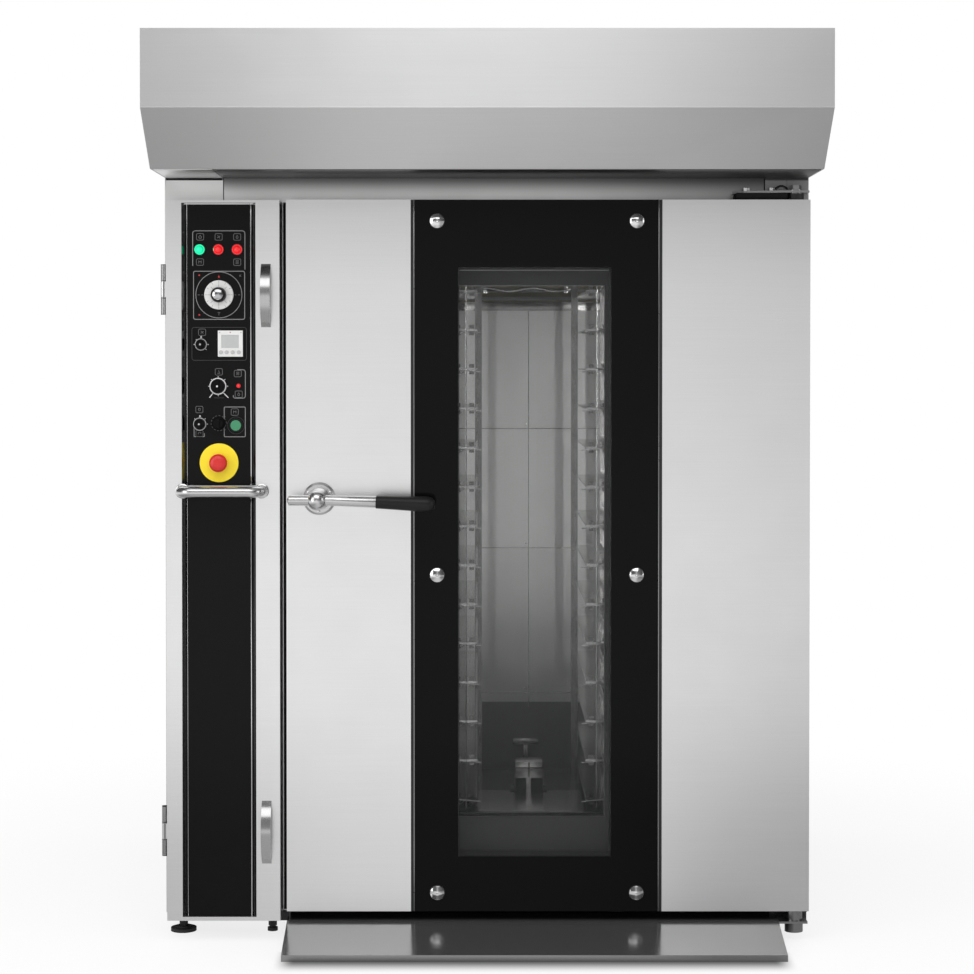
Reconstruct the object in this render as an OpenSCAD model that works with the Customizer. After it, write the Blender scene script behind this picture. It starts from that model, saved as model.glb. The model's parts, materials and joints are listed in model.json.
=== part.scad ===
// Rotating rack oven, millimetres, +Z up.
// X runs to the right and Y runs to the back, seen from the front.
// The origin is on the floor, under the middle of the overall box.

/* [Casing] */
// Overall width of the casing
body_width = 1500; // [1400:10:1600]
// Depth of the casing from header to rear panel
body_depth = 1225; // [1200:5:1400]
// Height of the casing and the canopy
body_height = 2058; // [1900:2:2250]
// Thickness of the casing sheets
sheet = 1.5; // [1:0.1:2.5]
// Height of the top of the chamber floor
floor_height = 57; // [50:1:62]
// Height of the underside of the casing panels
skirt_height = 50; // [40:1:70]
// Reach of the water and cable stubs behind the rear panel
stub_reach = 25; // [15:1:60]

/* [Canopy] */
// Reach of the canopy in front of the header
canopy_reach = 400; // [300:5:500]
// Reach of the canopy's lower edge in front of the header
lip_reach = 248; // [180:2:290]
// Height of the header band over the door
header_band = 57; // [50:1:90]
// Height of the upright face of the canopy
canopy_face = 171; // [100:1:220]

/* [Chamber] */
// Distance from the control door to the chamber
left_service = 144; // [130:1:160]
// Distance from the chamber to the casing's right side
right_service = 202; // [190:1:230]
// Height from the roof deck to the roof
roof_space = 275; // [265:1:320]
// Depth of the rack's axis behind the header
rack_setback = 485; // [480:1:520]
// Clear depth from the portal to the back wall
chamber_depth = 850; // [840:2:880]
// Depth of the portal frame behind the header
portal_depth = 60; // [40:1:80]
// Drop of the portal's top under the chamber ceiling
portal_drop = 40; // [30:1:60]
// Thickness of the side insulation
side_insulation = 80; // [60:1:100]
// Thickness of the roof insulation
roof_insulation = 78; // [60:1:85]
// Depth of the air compartment behind the chamber
air_depth = 258; // [250:1:280]
// Thickness of the chamber sheets
liner = 2; // [1.5:0.1:3]
// Reach of the entry ramp in front of the header
ramp_reach = 265; // [200:5:400]

/* [Rack] */
// Width over the rack posts
rack_width = 440; // [420:2:460]
// Depth over the rack posts
rack_depth = 620; // [600:2:640]
// Side of the square posts and rails
tube = 25; // [20:1:30]
// Height of the rack's base pan
pan_height = 250; // [246:1:260]
// Room between the rack's top rails and the chamber ceiling
rack_headroom = 50; // [45:1:80]
// Height of the lowest ledge
first_ledge = 282; // [275:1:300]
// Distance from one ledge to the next
ledge_pitch = 94.3; // [80:0.1:95]
// Width of a tray ledge
ledge_width = 63; // [40:1:80]
// Radius of the castor wheels
wheel_radius = 60; // [50:1:62]
// Lift of the rack over the floor while it hangs
rack_lift = 8; // [4:1:14]

/* [Rack drive] */
// Gear module
gear_module = 4; // [3:0.5:4]
// Teeth of the rack gear
rack_teeth = 60; // [54:3:60]
// Teeth of the pinion
pinion_teeth = 20; // [18:1:20]
// Radius of the drive shaft
shaft_radius = 15; // [12:0.5:18]
// Radial clearance of shafts and pins in their bores
running_fit = 0.05; // [0.02:0.01:0.1]

/* [Main door] */
// Gap between the control door and the main door
door_clearance = 15; // [8:1:20]
// Distance from the door's right edge to the casing's side
door_margin = 8; // [5:1:15]
// Underside of the door
door_bottom = 72; // [68:1:90]
// Lap of the door over the portal's top
door_lap = 50; // [35:1:60]
// Distance from the header to the door's front face
door_front = 87; // [80:1:95]
// Distance from the header to the pivot axis
pivot_reach = 50; // [50:1:52]
// Distance of the pivot axis from the door's right edge
pivot_inset = 30; // [28:1:32]
// Width of the left steel skin
left_skin_width = 286; // [260:1:300]
// Width of the right steel skin
right_skin_width = 339.4; // [320:1:350]
// Gap between a skin and the glass
glass_gap = 9.5; // [4:0.5:14]
// Thickness of the outer glass
glass = 6; // [4:0.5:8]
// Width of the black border left of the clear window
left_border = 98.9; // [80:0.1:120]
// Width of the black border right of the clear window
right_border = 107.1; // [80:0.1:120]
// Height of the black border over the clear window
top_border = 154; // [120:1:200]
// Bottom of the clear window
window_bottom = 198; // [180:1:220]

/* [Lever] */
// Place of the lever's axis from the door's left edge
lever_inset = 76; // [70:1:90]
// Height of the lever's axis
lever_height = 1024; // [980:1:1060]
// Distance of the lever from the door's face
lever_reach = 75; // [65:1:90]
// Length of the short end
stub_length = 65; // [50:1:68]
// Distance from the axis to the grip
grip_start = 134; // [110:1:150]
// Length of the black grip
grip_length = 133; // [110:1:150]

/* [Control door] */
// Distance from the casing's left side to the control door
control_margin = 13.3; // [12:0.1:16]
// Width of the control door
control_width = 260.7; // [250:0.1:270]
// Step from the main door's top down to the control door's top
control_step = 1; // [0:0.5:4]
// Thickness of the control door
control_thick = 19; // [17:0.5:22]
// Width of the left stile
left_stile = 35.7; // [30:0.5:40]
// Width of the right stile
right_stile = 55; // [50:0.5:60]
// Width of the black panels
panel_width = 145; // [140:1:150]
// Height of the guard handle
guard_height = 1041; // [900:1:1200]
// Diameter of the guard handle
guard_tube = 25; // [20:1:28]

/* [Hidden] */
$fn = 48;

// Clearance between pieces that don't touch but sit side by side
gap = 0.3;
// Places along X
side_x = body_width / 2;
control_left = -side_x + control_margin;
control_right = control_left + control_width;
door_left = control_right + door_clearance;
door_right = side_x - door_margin;
chamber_left = control_right + left_service;
chamber_right = side_x - right_service;
rack_offset = (chamber_left + chamber_right) / 2;
// Places along Y
box_front = -(canopy_reach + body_depth + stub_reach) / 2;
header_y = box_front + canopy_reach;
rear_y = header_y + body_depth;
door_y = header_y - door_front;
portal_back = header_y + portal_depth;
back_wall_y = portal_back + chamber_depth;
air_back = back_wall_y + air_depth;
// Heights, from the roof down
deck = 3;
deck_top = body_height - roof_space;
deck_z = deck_top - deck;
liner_top = deck_z - roof_insulation;
chamber_top = liner_top - liner;
portal_top = chamber_top - portal_drop;
door_top = portal_top + door_lap;
canopy_base = door_top + header_band;
control_top = door_top - control_step;
rack_top = chamber_top - rack_headroom;

// Chamber
rack_y = header_y + rack_setback;
portal_margin = 10;
portal_left = chamber_left + portal_margin;
portal_right = chamber_right - portal_margin;
shaft_hole = shaft_radius + 6;

// Base
rail_low = 30;
rail_top = floor_height - liner;
rail_width = 60;
foot_radius = 30;
foot_plate = 8;

// Drive
gear_radius = gear_module * rack_teeth / 2;
pinion_radius = gear_module * pinion_teeth / 2;
backlash = 0.5;
pinion_x = rack_offset + gear_radius + pinion_radius + backlash;
bearing_height = 60;
collar_height = 7;
gear_z = deck_top + bearing_height + collar_height;
gear_thick = 25;
motor_plate_z = gear_z + gear_thick + 10;
motor_plate = 6;
output_radius = 10;
shaft_low = rack_top + 22;

// Fan
fan_y = back_wall_y + air_depth / 2;
impeller_radius = 108;
impeller_z = chamber_top - 140;
impeller_height = 70;

// Rack
pan = 3;
pan_edge = 4;
base_rail_top = pan_height - pan;
base_rail_low = base_rail_top - tube;
hub_half = 36;
hub_rise = 58;
pin_radius = 12;
pin_top = base_rail_low + 18;
ledge_web = 14;
ledge_room = 5;
tiers = floor((rack_top - tube - ledge_room - ledge_web - first_ledge) / ledge_pitch) + 1;
wheel_z = floor_height + rack_lift + wheel_radius;
wheel_width = 32;
castor_x = 160;
castor_y = 240;
castor_trail = 30;
castor_plate = 6;
castor_neck = 12;
king_radius = 8;
axle_radius = 6;
fork_gap = wheel_width + 4;
fork_cheek = 4;

// Main door
pivot_x = door_right - pivot_inset;
pivot_y = header_y - pivot_reach;
pivot_radius = 10;
boss_radius = 19.5;
boss_height = 16;
bracket_plate = 5;
skin = 2;
core_front = door_y + glass;
door_back = header_y - 13;
inner_liner = 3;
core_back = door_back - inner_liner;
glass_left = door_left + left_skin_width + glass_gap;
glass_right = door_right - right_skin_width - glass_gap;
bolt_inset = 51;
bolt_heights = [door_bottom + 43, door_bottom + 776, door_top - 49];
window_left = glass_left + left_border;
window_right = glass_right - right_border;
window_top = door_top - top_border;
bolt_radius = 5;
liner_window_left = window_left + 2;
liner_window_right = window_right - 13;
liner_window_bottom = window_bottom + 81;
liner_window_top = window_top - 42;
inner_glass = 5;
pocket_depth = 34;

// Lever
lever_x = door_left + lever_inset;
lever_y = door_y - lever_reach;
rose_radius = 37.5;
rose_height = 10;
rose_boss = 30;
spindle_radius = 8;
tongue_y = header_y + 7;
tongue = 8;
tongue_length = 42;

// Control door
control_y = door_y;
control_back = control_y + control_thick;
cabinet_front = control_back + 1;
recess_left = control_left + left_stile;
recess_right = control_right - right_stile;
panel_left = recess_left + (recess_right - recess_left - panel_width) / 2;
panel_right = panel_left + panel_width;
panel = 6;
panel_back = control_back - 4;
panel_face = panel_back - panel;
recess_bottom = skirt_height + 9;
recess_top = control_top - 6;
rail_half = 13;
hinge_x = -side_x + 5.5;
hinge_y = control_back - 4;
hinge_radius = 5.5;
hinge_pin = 2.5;
hinge_heights = [control_top - 204, skirt_height + 205];
pull_heights = [control_top - 219, skirt_height + 205];
hinge_length = 114;
knuckle_length = 36;
stem_radius = 3;
// The emergency stop keeps its distance from the guard handle, and the rest of the panel's layout
// is drawn on the height that is left over it
estop_rise = 65;
layout_low = guard_height + 110;
layout_height = 552;
panel_middle = (panel_left + panel_right) / 2;
function spot(across, up) = [panel_middle + across, layout_low + up * (recess_top - layout_low) / layout_height];
lamp_places = [for (across = [-44, -1, 42]) spot(across, 445)];
thermostat_place = spot(0, 341);
fan_place = spot(-41, 227);
timer_place = spot(26.5, 229);
steam_place = spot(-2, 131);
led_place = spot(45, 132);
light_place = spot(-44, 44);
mode_place = spot(-1, 46);
start_place = spot(39, 41);
estop_place = [panel_middle, guard_height + estop_rise];
estop_plate_radius = 44.5;
estop_head = 20.5;
estop_stem = 11;
start_radius = 9;

// ---------------------------------------------------------------- helpers

// Box between two corners
module span(low, high) translate(low) cube(high - low);

// Cylinder that stands along Y, from y0 to y1
module rod_y(x, z, r, y0, y1) translate([x, y1, z]) rotate([90, 0, 0]) cylinder(r = r, h = y1 - y0);

// Cylinder that stands along Z
module rod_z(x, y, r, z0, z1) translate([x, y, z0]) cylinder(r = r, h = z1 - z0);

// Cylinder that lies along X
module rod_x(y, z, r, x0, x1) translate([x0, y, z]) rotate([0, 90, 0]) cylinder(r = r, h = x1 - x0);

// Four upright sides of a rectangular ring
module ring(low, high, wall_x, wall_y) difference() {
    span(low, high);
    span([low[0] + wall_x, low[1] + wall_y, low[2] - 1], [high[0] - wall_x, high[1] - wall_y, high[2] + 1]);
}

// Outline of a spur gear with straight-sided teeth
module gear_outline(teeth, tooth_module, phase) {
    root = tooth_module * teeth / 2 - 1.25 * tooth_module;
    tip = tooth_module * teeth / 2 + 0.9 * tooth_module;
    step = 360 / teeth;
    polygon([for (i = [0:teeth - 1]) let (a = phase + i * step) each [
        root * [cos(a - step * 0.36), sin(a - step * 0.36)],
        tip * [cos(a - step * 0.11), sin(a - step * 0.11)],
        tip * [cos(a + step * 0.11), sin(a + step * 0.11)],
        root * [cos(a + step * 0.36), sin(a + step * 0.36)]]]);
}

// ------------------------------------------------------------- fixed body

module base_frame() color("dimgray") {
    front = header_y + sheet;
    back = rear_y - 2 * sheet;
    outer = side_x - sheet;
    ring([-outer, front, rail_low], [outer, back, rail_top], rail_width, rail_width);
    for (x = [chamber_left - side_insulation, chamber_right + liner])
        span([x, front + rail_width, rail_low], [x + rail_width, back - rail_width, rail_top]);
    for (y = [rack_y - rail_width / 2, back_wall_y])
        span([chamber_left - side_insulation + rail_width, y, rail_low],
            [chamber_right + liner, y + rail_width, rail_top]);
}

module foot(x, y, r) {
    rod_z(x, y, r, 0, foot_plate);
    rod_z(x, y, r * 0.6, foot_plate, foot_plate + 4);
    translate([x, y, foot_plate + 4]) cylinder(r = 10, h = rail_low - foot_plate - 4, $fn = 6);
}

module levelling_feet() color("gray") {
    inset = rail_width / 2 + sheet;
    for (y = [header_y + inset, rear_y - inset]) {
        foot(-side_x + inset + 5, y, foot_radius);
        foot(control_right - 28, y, foot_radius * 0.4);
        foot(door_right - 142, y, foot_radius);
    }
}

// Side sheet with folded front and rear edges
module side_sheet(side) {
    fold = 25;
    outer = side * side_x;
    inner = side * (side_x - sheet);
    edge = side * (side_x - fold);
    low = [min(outer, inner), header_y, skirt_height];
    span(low, [max(outer, inner), rear_y, body_height - sheet]);
    span([min(inner, edge), rear_y - 2 * sheet, skirt_height],
        [max(inner, edge), rear_y - sheet, body_height - sheet]);
}

module left_side_panel() color("silver") side_sheet(-1);

module right_side_panel() color("silver") side_sheet(1);

// Place of the water stub and the cable gland on the rear panel
water_x = chamber_left + 60;
water_z = chamber_top - 250;
water_radius = 10.5;
union_radius = 13;
gland_x = control_right - 120;
gland_z = deck_top + 67;
gland_radius = 12;

module rear_panel() color("silver") difference() {
    union() {
        span([-side_x + sheet, rear_y - sheet, skirt_height], [side_x - sheet, rear_y, body_height - sheet]);
        for (x = [-side_x / 2, side_x / 2])
            span([x - 20, rear_y, skirt_height + 60], [x + 20, rear_y + 6, body_height - 80]);
        rod_y(gland_x, gland_z, gland_radius + 8, rear_y, rear_y + stub_reach - 5);
    }
    rod_y(water_x, water_z, water_radius + 2, rear_y - 10, rear_y + 10);
    rod_y(gland_x, gland_z, gland_radius, rear_y - 10, rear_y + stub_reach + 5);
}

// Flue spigot on the roof
flue_x = -220;
flue_y = rear_y - 300;
flue_radius = 75;
flue_height = 60;

module top_panel() color("silver") difference() {
    union() {
        span([-side_x, header_y, body_height - sheet], [side_x, rear_y, body_height]);
        rod_z(flue_x, flue_y, flue_radius, body_height - sheet, body_height + flue_height);
        rod_z(flue_x, flue_y, flue_radius + 25, body_height, body_height + 3);
    }
    rod_z(flue_x, flue_y, flue_radius - 2, body_height - 10, body_height + flue_height + 1);
}

cabinet_margin = 7;
cabinet_left = control_left + gap;

// Pocket of the latch tongue in the front frame
pocket_room = tongue_length + 18;
pocket_left = lever_x - pocket_room;
pocket_right = lever_x + 25;
pocket_low = lever_height - pocket_room;
pocket_high = lever_height + pocket_room;

// Hollow of the front frame round the doorway, open at the back
module frame_hollow() difference() {
    wall = 3;
    left = control_right - cabinet_margin + wall;
    right = side_x - sheet - wall;
    span([left, header_y + wall, rail_top + wall], [right, portal_back + 1, canopy_base - wall]);
    span([portal_left - wall, header_y, rail_top], [portal_right + wall, portal_back + 2, portal_top + wall]);
    span([pocket_left - wall, header_y, pocket_low - wall],
        [pocket_right + wall, header_y + pocket_depth + wall, pocket_high + wall]);
}

module front_frame() color("lightgray") difference() {
    low_x = -side_x + sheet;
    span([low_x, header_y, rail_top], [side_x - sheet, portal_back, canopy_base]);
    // opening to the chamber
    span([portal_left, header_y - 1, rail_top - 1], [portal_right, portal_back + 1, portal_top]);
    // opening of the control cabinet
    span([cabinet_left + cabinet_margin, header_y - 1, skirt_height + cabinet_margin],
        [control_right - cabinet_margin, portal_back + 1, control_top - cabinet_margin]);
    // pocket for the latch tongue
    span([pocket_left, header_y - 1, pocket_low], [pocket_right, header_y + pocket_depth, pocket_high]);
    frame_hollow();
    // seams of the header's end pieces
    for (x = [control_left + 122, side_x - 102])
        span([x - 0.6, header_y - 1, control_top + 4], [x + 0.6, header_y + 1, canopy_base - 3]);
}

module contactor(x, y, z) {
    span([x - 22, y - 60, z], [x + 22, y, z + 75]);
    span([x - 18, y - 70, z + 20], [x + 18, y - 60, z + 55]);
}

module control_cabinet() color("gainsboro") {
    // casing between the header and the control door
    difference() {
        span([cabinet_left, cabinet_front, skirt_height], [control_right, header_y, control_top]);
        span([cabinet_left + sheet, cabinet_front - 1, skirt_height + sheet],
            [control_right - sheet, header_y + 1, control_top - sheet]);
    }
    // walls that run back from the opening
    plate_y = portal_back + 190;
    back_left = cabinet_left + cabinet_margin;
    back_right = control_right - cabinet_margin;
    plate_low = skirt_height + cabinet_margin;
    plate_high = control_top - cabinet_margin;
    difference() {
        span([back_left - sheet, portal_back, plate_low - sheet], [back_right + sheet, plate_y + 3, plate_high + sheet]);
        span([back_left, portal_back - 1, plate_low], [back_right, plate_y, plate_high]);
    }
    // rows of contactors on rails
    middle = (back_left + back_right) / 2;
    row_pitch = 250;
    for (z = [plate_low + 443:row_pitch:plate_high - row_pitch]) {
        span([back_left + 20, plate_y - 8, z + 30], [back_right - 20, plate_y, z + 50]);
        for (i = [-1:1]) contactor(middle + i * 60, plate_y - 8, z);
    }
}

module control_hinges() color("silver") for (z = hinge_heights) {
    low = z - hinge_length / 2;
    high = z + hinge_length / 2;
    step = (hinge_length - knuckle_length) / 2;
    rod_z(hinge_x, hinge_y, hinge_pin, low, high);
    for (k = [[low, low + step], [high - step, high]]) {
        rod_z(hinge_x, hinge_y, hinge_radius, k[0], k[1]);
        span([hinge_x - 1.5, hinge_y, k[0]], [cabinet_left - 0.5, hinge_y + 7, k[1]]);
    }
    span([cabinet_left - 2.5, hinge_y + 5.5, low], [cabinet_left, header_y - 10, high]);
}

module chamber_liner() color("silver") difference() {
    span([chamber_left - liner, portal_back, rail_top], [chamber_right + liner, air_back, liner_top]);
    span([chamber_left, portal_back - 1, rail_top - 1], [chamber_right, air_back + 1, chamber_top]);
    rod_z(rack_offset, rack_y, shaft_hole, chamber_top - 1, liner_top + 1);
    rod_z(rack_offset, fan_y, shaft_hole, chamber_top - 1, liner_top + 1);
}

module chamber_floor() color("darkgray") {
    difference() {
        span([chamber_left + gap, portal_back + gap, rail_top], [chamber_right - gap, air_back - gap, floor_height]);
        translate([0, 0, -1]) rod_z(rack_offset, rack_y, pin_radius, rail_top, floor_height + 2);
    }
    span([portal_left + gap, header_y, rail_top], [portal_right - gap, portal_back + gap, floor_height]);
    rod_z(rack_offset, rack_y, pin_radius, rail_top, pin_top);
    rod_z(rack_offset, rack_y, pin_radius + 18, floor_height, floor_height + 6);
}

grille_margin = 60;
lower_grille = [90, 220];
upper_grille = [chamber_top - 200, chamber_top - 30];
stop_low = pan_height - 18;
stop_rise = 66;

// Inclined slats across an opening of the back wall
module slats(low, high) {
    pitch = 22;
    for (z = [low + pitch / 2:pitch:high - pitch / 2])
        translate([0, back_wall_y + 4, z]) rotate([40, 0, 0])
            span([chamber_left + grille_margin, -7, -0.75], [chamber_right - grille_margin, 7, 0.75]);
}

module chamber_back_wall() color("silver") {
    difference() {
        span([chamber_left + gap, back_wall_y, floor_height], [chamber_right - gap, back_wall_y + liner, chamber_top]);
        for (g = [lower_grille, upper_grille])
            span([chamber_left + grille_margin, back_wall_y - 1, g[0]],
                [chamber_right - grille_margin, back_wall_y + 5, g[1]]);
        // joints between the panels
        for (z = [439, 833, 1158])
            span([chamber_left + 40, back_wall_y - 1, z - 0.75], [chamber_right - 40, back_wall_y + 0.8, z + 0.75]);
        span([rack_offset + 7.25, back_wall_y - 1, 400], [rack_offset + 8.75, back_wall_y + 0.8, upper_grille[0] - 10]);
    }
    // stop bracket of the rack, a stem with a cross plate
    span([rack_offset - 6, back_wall_y - 8, stop_low], [rack_offset + 6, back_wall_y, stop_low + stop_rise]);
    span([rack_offset - 34, back_wall_y - 14, stop_low + stop_rise],
        [rack_offset + 34, back_wall_y, stop_low + stop_rise + 16]);
    for (g = [lower_grille, upper_grille]) {
        for (x = [chamber_left + grille_margin - 5, chamber_right - grille_margin])
            span([x, back_wall_y + liner, g[0] - 5], [x + 5, back_wall_y + 12, g[1] + 5]);
        slats(g[0], g[1]);
    }
}

module insulation() color("khaki") {
    low = rail_top;
    back = rear_y - 2 * sheet;
    // sides
    for (x = [chamber_left - liner - side_insulation, chamber_right + liner])
        span([x, portal_back, low], [x + side_insulation, air_back, liner_top]);
    // roof
    difference() {
        span([chamber_left - liner - side_insulation, portal_back, liner_top],
            [chamber_right + liner + side_insulation, air_back, deck_z]);
        for (y = [rack_y, fan_y]) rod_z(rack_offset, y, shaft_hole, liner_top - 1, deck_z + 1);
    }
    // rear
    difference() {
        span([chamber_left - liner - side_insulation, air_back, low],
            [chamber_right + liner + side_insulation, back, deck_z]);
        rod_y(water_x, water_z, water_radius + 2, air_back - 1, back + 1);
    }
}

module roof_deck() color("gray") difference() {
    span([-side_x + sheet, portal_back, deck_z], [side_x - sheet, rear_y - 2 * sheet, deck_top]);
    for (y = [rack_y, fan_y]) rod_z(rack_offset, y, shaft_hole, deck_z - 1, deck_top + 1);
}

heater_rod = 5;
heater_pitch = 60;
heater_count = 12;
heater_y = back_wall_y + 110;

// Upright U-shaped heating element
module heater_loop(x, z0, z1) {
    bend = heater_pitch / 4;
    for (s = [-1, 1]) rod_z(x + s * bend, heater_y, heater_rod, z0 + bend, z1);
    translate([x, heater_y, z0 + bend]) rotate([-90, 0, 0]) rotate_extrude(angle = 180)
        translate([bend, 0]) circle(r = heater_rod);
}

module heater_bank() color("sienna") {
    z1 = upper_grille[0] - 100;
    z0 = z1 - 920;
    first = rack_offset - heater_pitch * (heater_count - 1) / 2;
    for (i = [0:heater_count - 1]) heater_loop(first + i * heater_pitch, z0, z1);
    // plate that holds the elements, on two brackets from the back wall
    span([chamber_left + 20, heater_y - 20, z1], [chamber_right - 20, heater_y + 20, z1 + 6]);
    for (x = [chamber_left + 20, chamber_right - 30])
        span([x, back_wall_y + liner, z1 - 40], [x + 10, heater_y + 20, z1]);
}

module fan_motor() color("slategray") difference() {
    union() {
        rod_z(rack_offset, fan_y, 95, deck_top, deck_top + 10);
        rod_z(rack_offset, fan_y, 70, deck_top + 10, deck_top + 170);
        rod_z(rack_offset, fan_y, 74, deck_top + 170, deck_top + 195);
        for (a = [0:20:340]) translate([rack_offset, fan_y, deck_top + 20]) rotate([0, 0, a])
            span([69, -1.5, 0], [78, 1.5, 140]);
        span([rack_offset + 60, fan_y - 35, deck_top + 60], [rack_offset + 105, fan_y + 35, deck_top + 130]);
    }
    rod_z(rack_offset, fan_y, output_radius + running_fit, deck_top - 1, deck_top + 60);
}

module steam_generator() color("gray") {
    left = chamber_left + 12;
    depth = 90;
    front = back_wall_y + 150;
    top_trough = water_z - 230;
    // stepped troughs that turn water to steam
    for (i = [0:5]) {
        z = top_trough - i * 140;
        difference() {
            span([left, front, z], [left + 90, front + depth, z + 40]);
            span([left + 4, front + 4, z + 4], [left + 86, front + depth - 4, z + 41]);
        }
    }
    for (x = [left - 12, left + 90]) span([x, front + depth / 2 - 20, floor_height],
        [x + (x < left ? 12 : 6), front + depth / 2 + 20, top_trough + 50]);
    // water pipe from the stub down to the top trough
    difference() {
        union() {
            rod_y(water_x, water_z, water_radius, front + 40, rear_y + stub_reach);
            rod_y(water_x, water_z, union_radius, rear_y, rear_y + stub_reach);
            rod_z(water_x, front + 40, water_radius, top_trough + 70, water_z);
            translate([water_x, front + 40, water_z]) sphere(r = water_radius);
            span([left + 40, front + depth / 2 - 5, top_trough + 35], [left + 96, front + depth / 2 + 5, top_trough + 70]);
        }
        rod_y(water_x, water_z, water_radius - 2, front + 45, rear_y + stub_reach + 1);
    }
}

canopy_sheet = 2;

module canopy_outline() polygon([[header_y, canopy_base], [header_y - lip_reach, canopy_base],
    [box_front, body_height - canopy_face], [box_front, body_height], [header_y, body_height]]);

module canopy_hollow() polygon([[header_y - canopy_sheet, canopy_base + canopy_sheet],
    [header_y - lip_reach + 1, canopy_base + canopy_sheet],
    [box_front + canopy_sheet, body_height - canopy_face + 1],
    [box_front + canopy_sheet, body_height - canopy_sheet], [header_y - canopy_sheet, body_height - canopy_sheet]]);

// Extrusion along X of an outline drawn with X as the depth and Y as the height
module along_x(x0, x1) translate([x0, 0, 0]) rotate([90, 0, 90]) linear_extrude(x1 - x0) children();

module hood_canopy() color("silver") difference() {
    along_x(-side_x, side_x) canopy_outline();
    along_x(-side_x + canopy_sheet, side_x - canopy_sheet) canopy_hollow();
    // slot that lets steam into the canopy
    span([portal_left, header_y - 60, canopy_base - 1], [portal_right, header_y - 25, canopy_base + canopy_sheet + 1]);
    // duct opening to the roof space
    span([-300, header_y - canopy_sheet - 1, deck_top + 40], [0, header_y + 1, body_height - 40]);
}

ramp_left = door_left + 1;
ramp_right = door_right - 71;
ramp_plate = 4;
ramp_lip = 15;
ramp_ease = 3;

module entry_ramp() color("silver") {
    front = header_y - ramp_reach;
    shoulder = door_y - 8;
    top = floor_height - 1;
    under = top - ramp_plate;
    slope_end = top - ramp_ease;
    // folded plate: a low lip, a slope and a level stretch under the door
    along_x(ramp_left, ramp_right) polygon([[front, 0], [front + ramp_plate, 0],
        [front + ramp_plate, ramp_lip - ramp_plate], [shoulder, slope_end - ramp_plate], [header_y, under],
        [header_y, top], [shoulder, slope_end], [front, ramp_lip]]);
    // ribs that carry the plate
    for (x = [ramp_left + 40, (ramp_left + ramp_right) / 2, ramp_right - 44]) along_x(x, x + 4)
        polygon([[front + 1, 0], [header_y, 0], [header_y, under + 1], [shoulder, slope_end - ramp_plate + 1],
            [front + ramp_plate, ramp_lip - ramp_plate + 1], [front + 1, ramp_lip - ramp_plate]]);
}

upper_plate_z = door_top + boss_height + 1;
lower_plate_z = 40;
pivot_nut = 21;

module door_brackets() color("silver") {
    // upper plate with its pin
    difference() {
        translate([0, 0, upper_plate_z]) linear_extrude(bracket_plate) polygon([
            [pivot_x - 141, header_y], [pivot_x - 141, header_y - 34], [pivot_x - 120, header_y - 55],
            [pivot_x - 30, pivot_y - 26], [pivot_x + 29, pivot_y - 26], [pivot_x + 29, header_y]]);
        for (x = [pivot_x - 110, pivot_x - 50])
            rod_z(x, header_y - 25, 5, upper_plate_z - 1, upper_plate_z + bracket_plate + 1);
    }
    rod_z(pivot_x, pivot_y, pivot_radius, door_top - 12, upper_plate_z);
    rod_z(pivot_x, pivot_y, 16, upper_plate_z + bracket_plate, upper_plate_z + bracket_plate + 3);
    translate([pivot_x, pivot_y, upper_plate_z + bracket_plate + 3]) cylinder(r = 14, h = 10, $fn = 6);
    // lower plate with its pin and thrust collar
    span([pivot_x - 39, pivot_y - 24, lower_plate_z], [pivot_x + 29, header_y + sheet, lower_plate_z + bracket_plate]);
    rod_z(pivot_x, pivot_y, pivot_nut, lower_plate_z - 22, lower_plate_z);
    rod_z(pivot_x, pivot_y, boss_radius, lower_plate_z + bracket_plate, door_bottom - gap);
    rod_z(pivot_x, pivot_y, pivot_radius, door_bottom - 1, door_bottom + 14);
}

module gear_motor() color("steelblue") {
    low = motor_plate_z + motor_plate;
    difference() {
        union() {
            span([pinion_x - 50, rack_y - 75, motor_plate_z], [pinion_x + 100, rack_y + 75, low]);
            span([pinion_x - 45, rack_y - 45, low], [pinion_x + 60, rack_y + 45, low + 85]);
        }
        rod_z(pinion_x, rack_y, output_radius + running_fit, motor_plate_z - 1, low + 60);
    }
    rod_x(rack_y, low + 45, 42, pinion_x + 60, pinion_x + 80);
    rod_x(rack_y, low + 45, 38, pinion_x + 80, pinion_x + 220);
    rod_x(rack_y, low + 45, 40, pinion_x + 220, pinion_x + 245);
    for (x = [pinion_x + 60, pinion_x + 90]) for (y = [rack_y - 65, rack_y + 65])
        rod_z(x, y, 8, deck_top, motor_plate_z);
}

module shaft_bearing() color("darkslategray") difference() {
    union() {
        rod_z(rack_offset, rack_y, 75, deck_top, deck_top + 12);
        rod_z(rack_offset, rack_y, 42, deck_top + 12, deck_top + bearing_height);
        for (a = [0:90:270]) translate([rack_offset, rack_y, deck_top + 12]) rotate([0, 0, a])
            span([38, -4, 0], [68, 4, 25]);
    }
    rod_z(rack_offset, rack_y, shaft_radius + running_fit, deck_top - 1, deck_top + bearing_height + 1);
    for (a = [45:90:315]) translate([rack_offset, rack_y, 0]) rotate([0, 0, a])
        rod_z(62, 0, 5.5, deck_top - 1, deck_top + 13);
}

// -------------------------------------------------------------- main door

module glass_bolt_places() for (x = [glass_left + bolt_inset, glass_right - bolt_inset + 2])
    for (z = bolt_heights) translate([x, 0, z]) children();

// Pan of the door's core, open at the back, with a reveal round the window
module door_pan() {
    wall = 3;
    left = door_left + skin;
    right = door_right - skin;
    difference() {
        span([left, core_front, door_bottom], [right, core_back, door_top]);
        difference() {
            span([left + wall, core_front + wall, door_bottom + wall], [right - wall, core_back + 1, door_top - wall]);
            span([window_left - wall, core_front, window_bottom - wall],
                [window_right + wall, core_back + 2, window_top + wall]);
        }
    }
}

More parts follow.
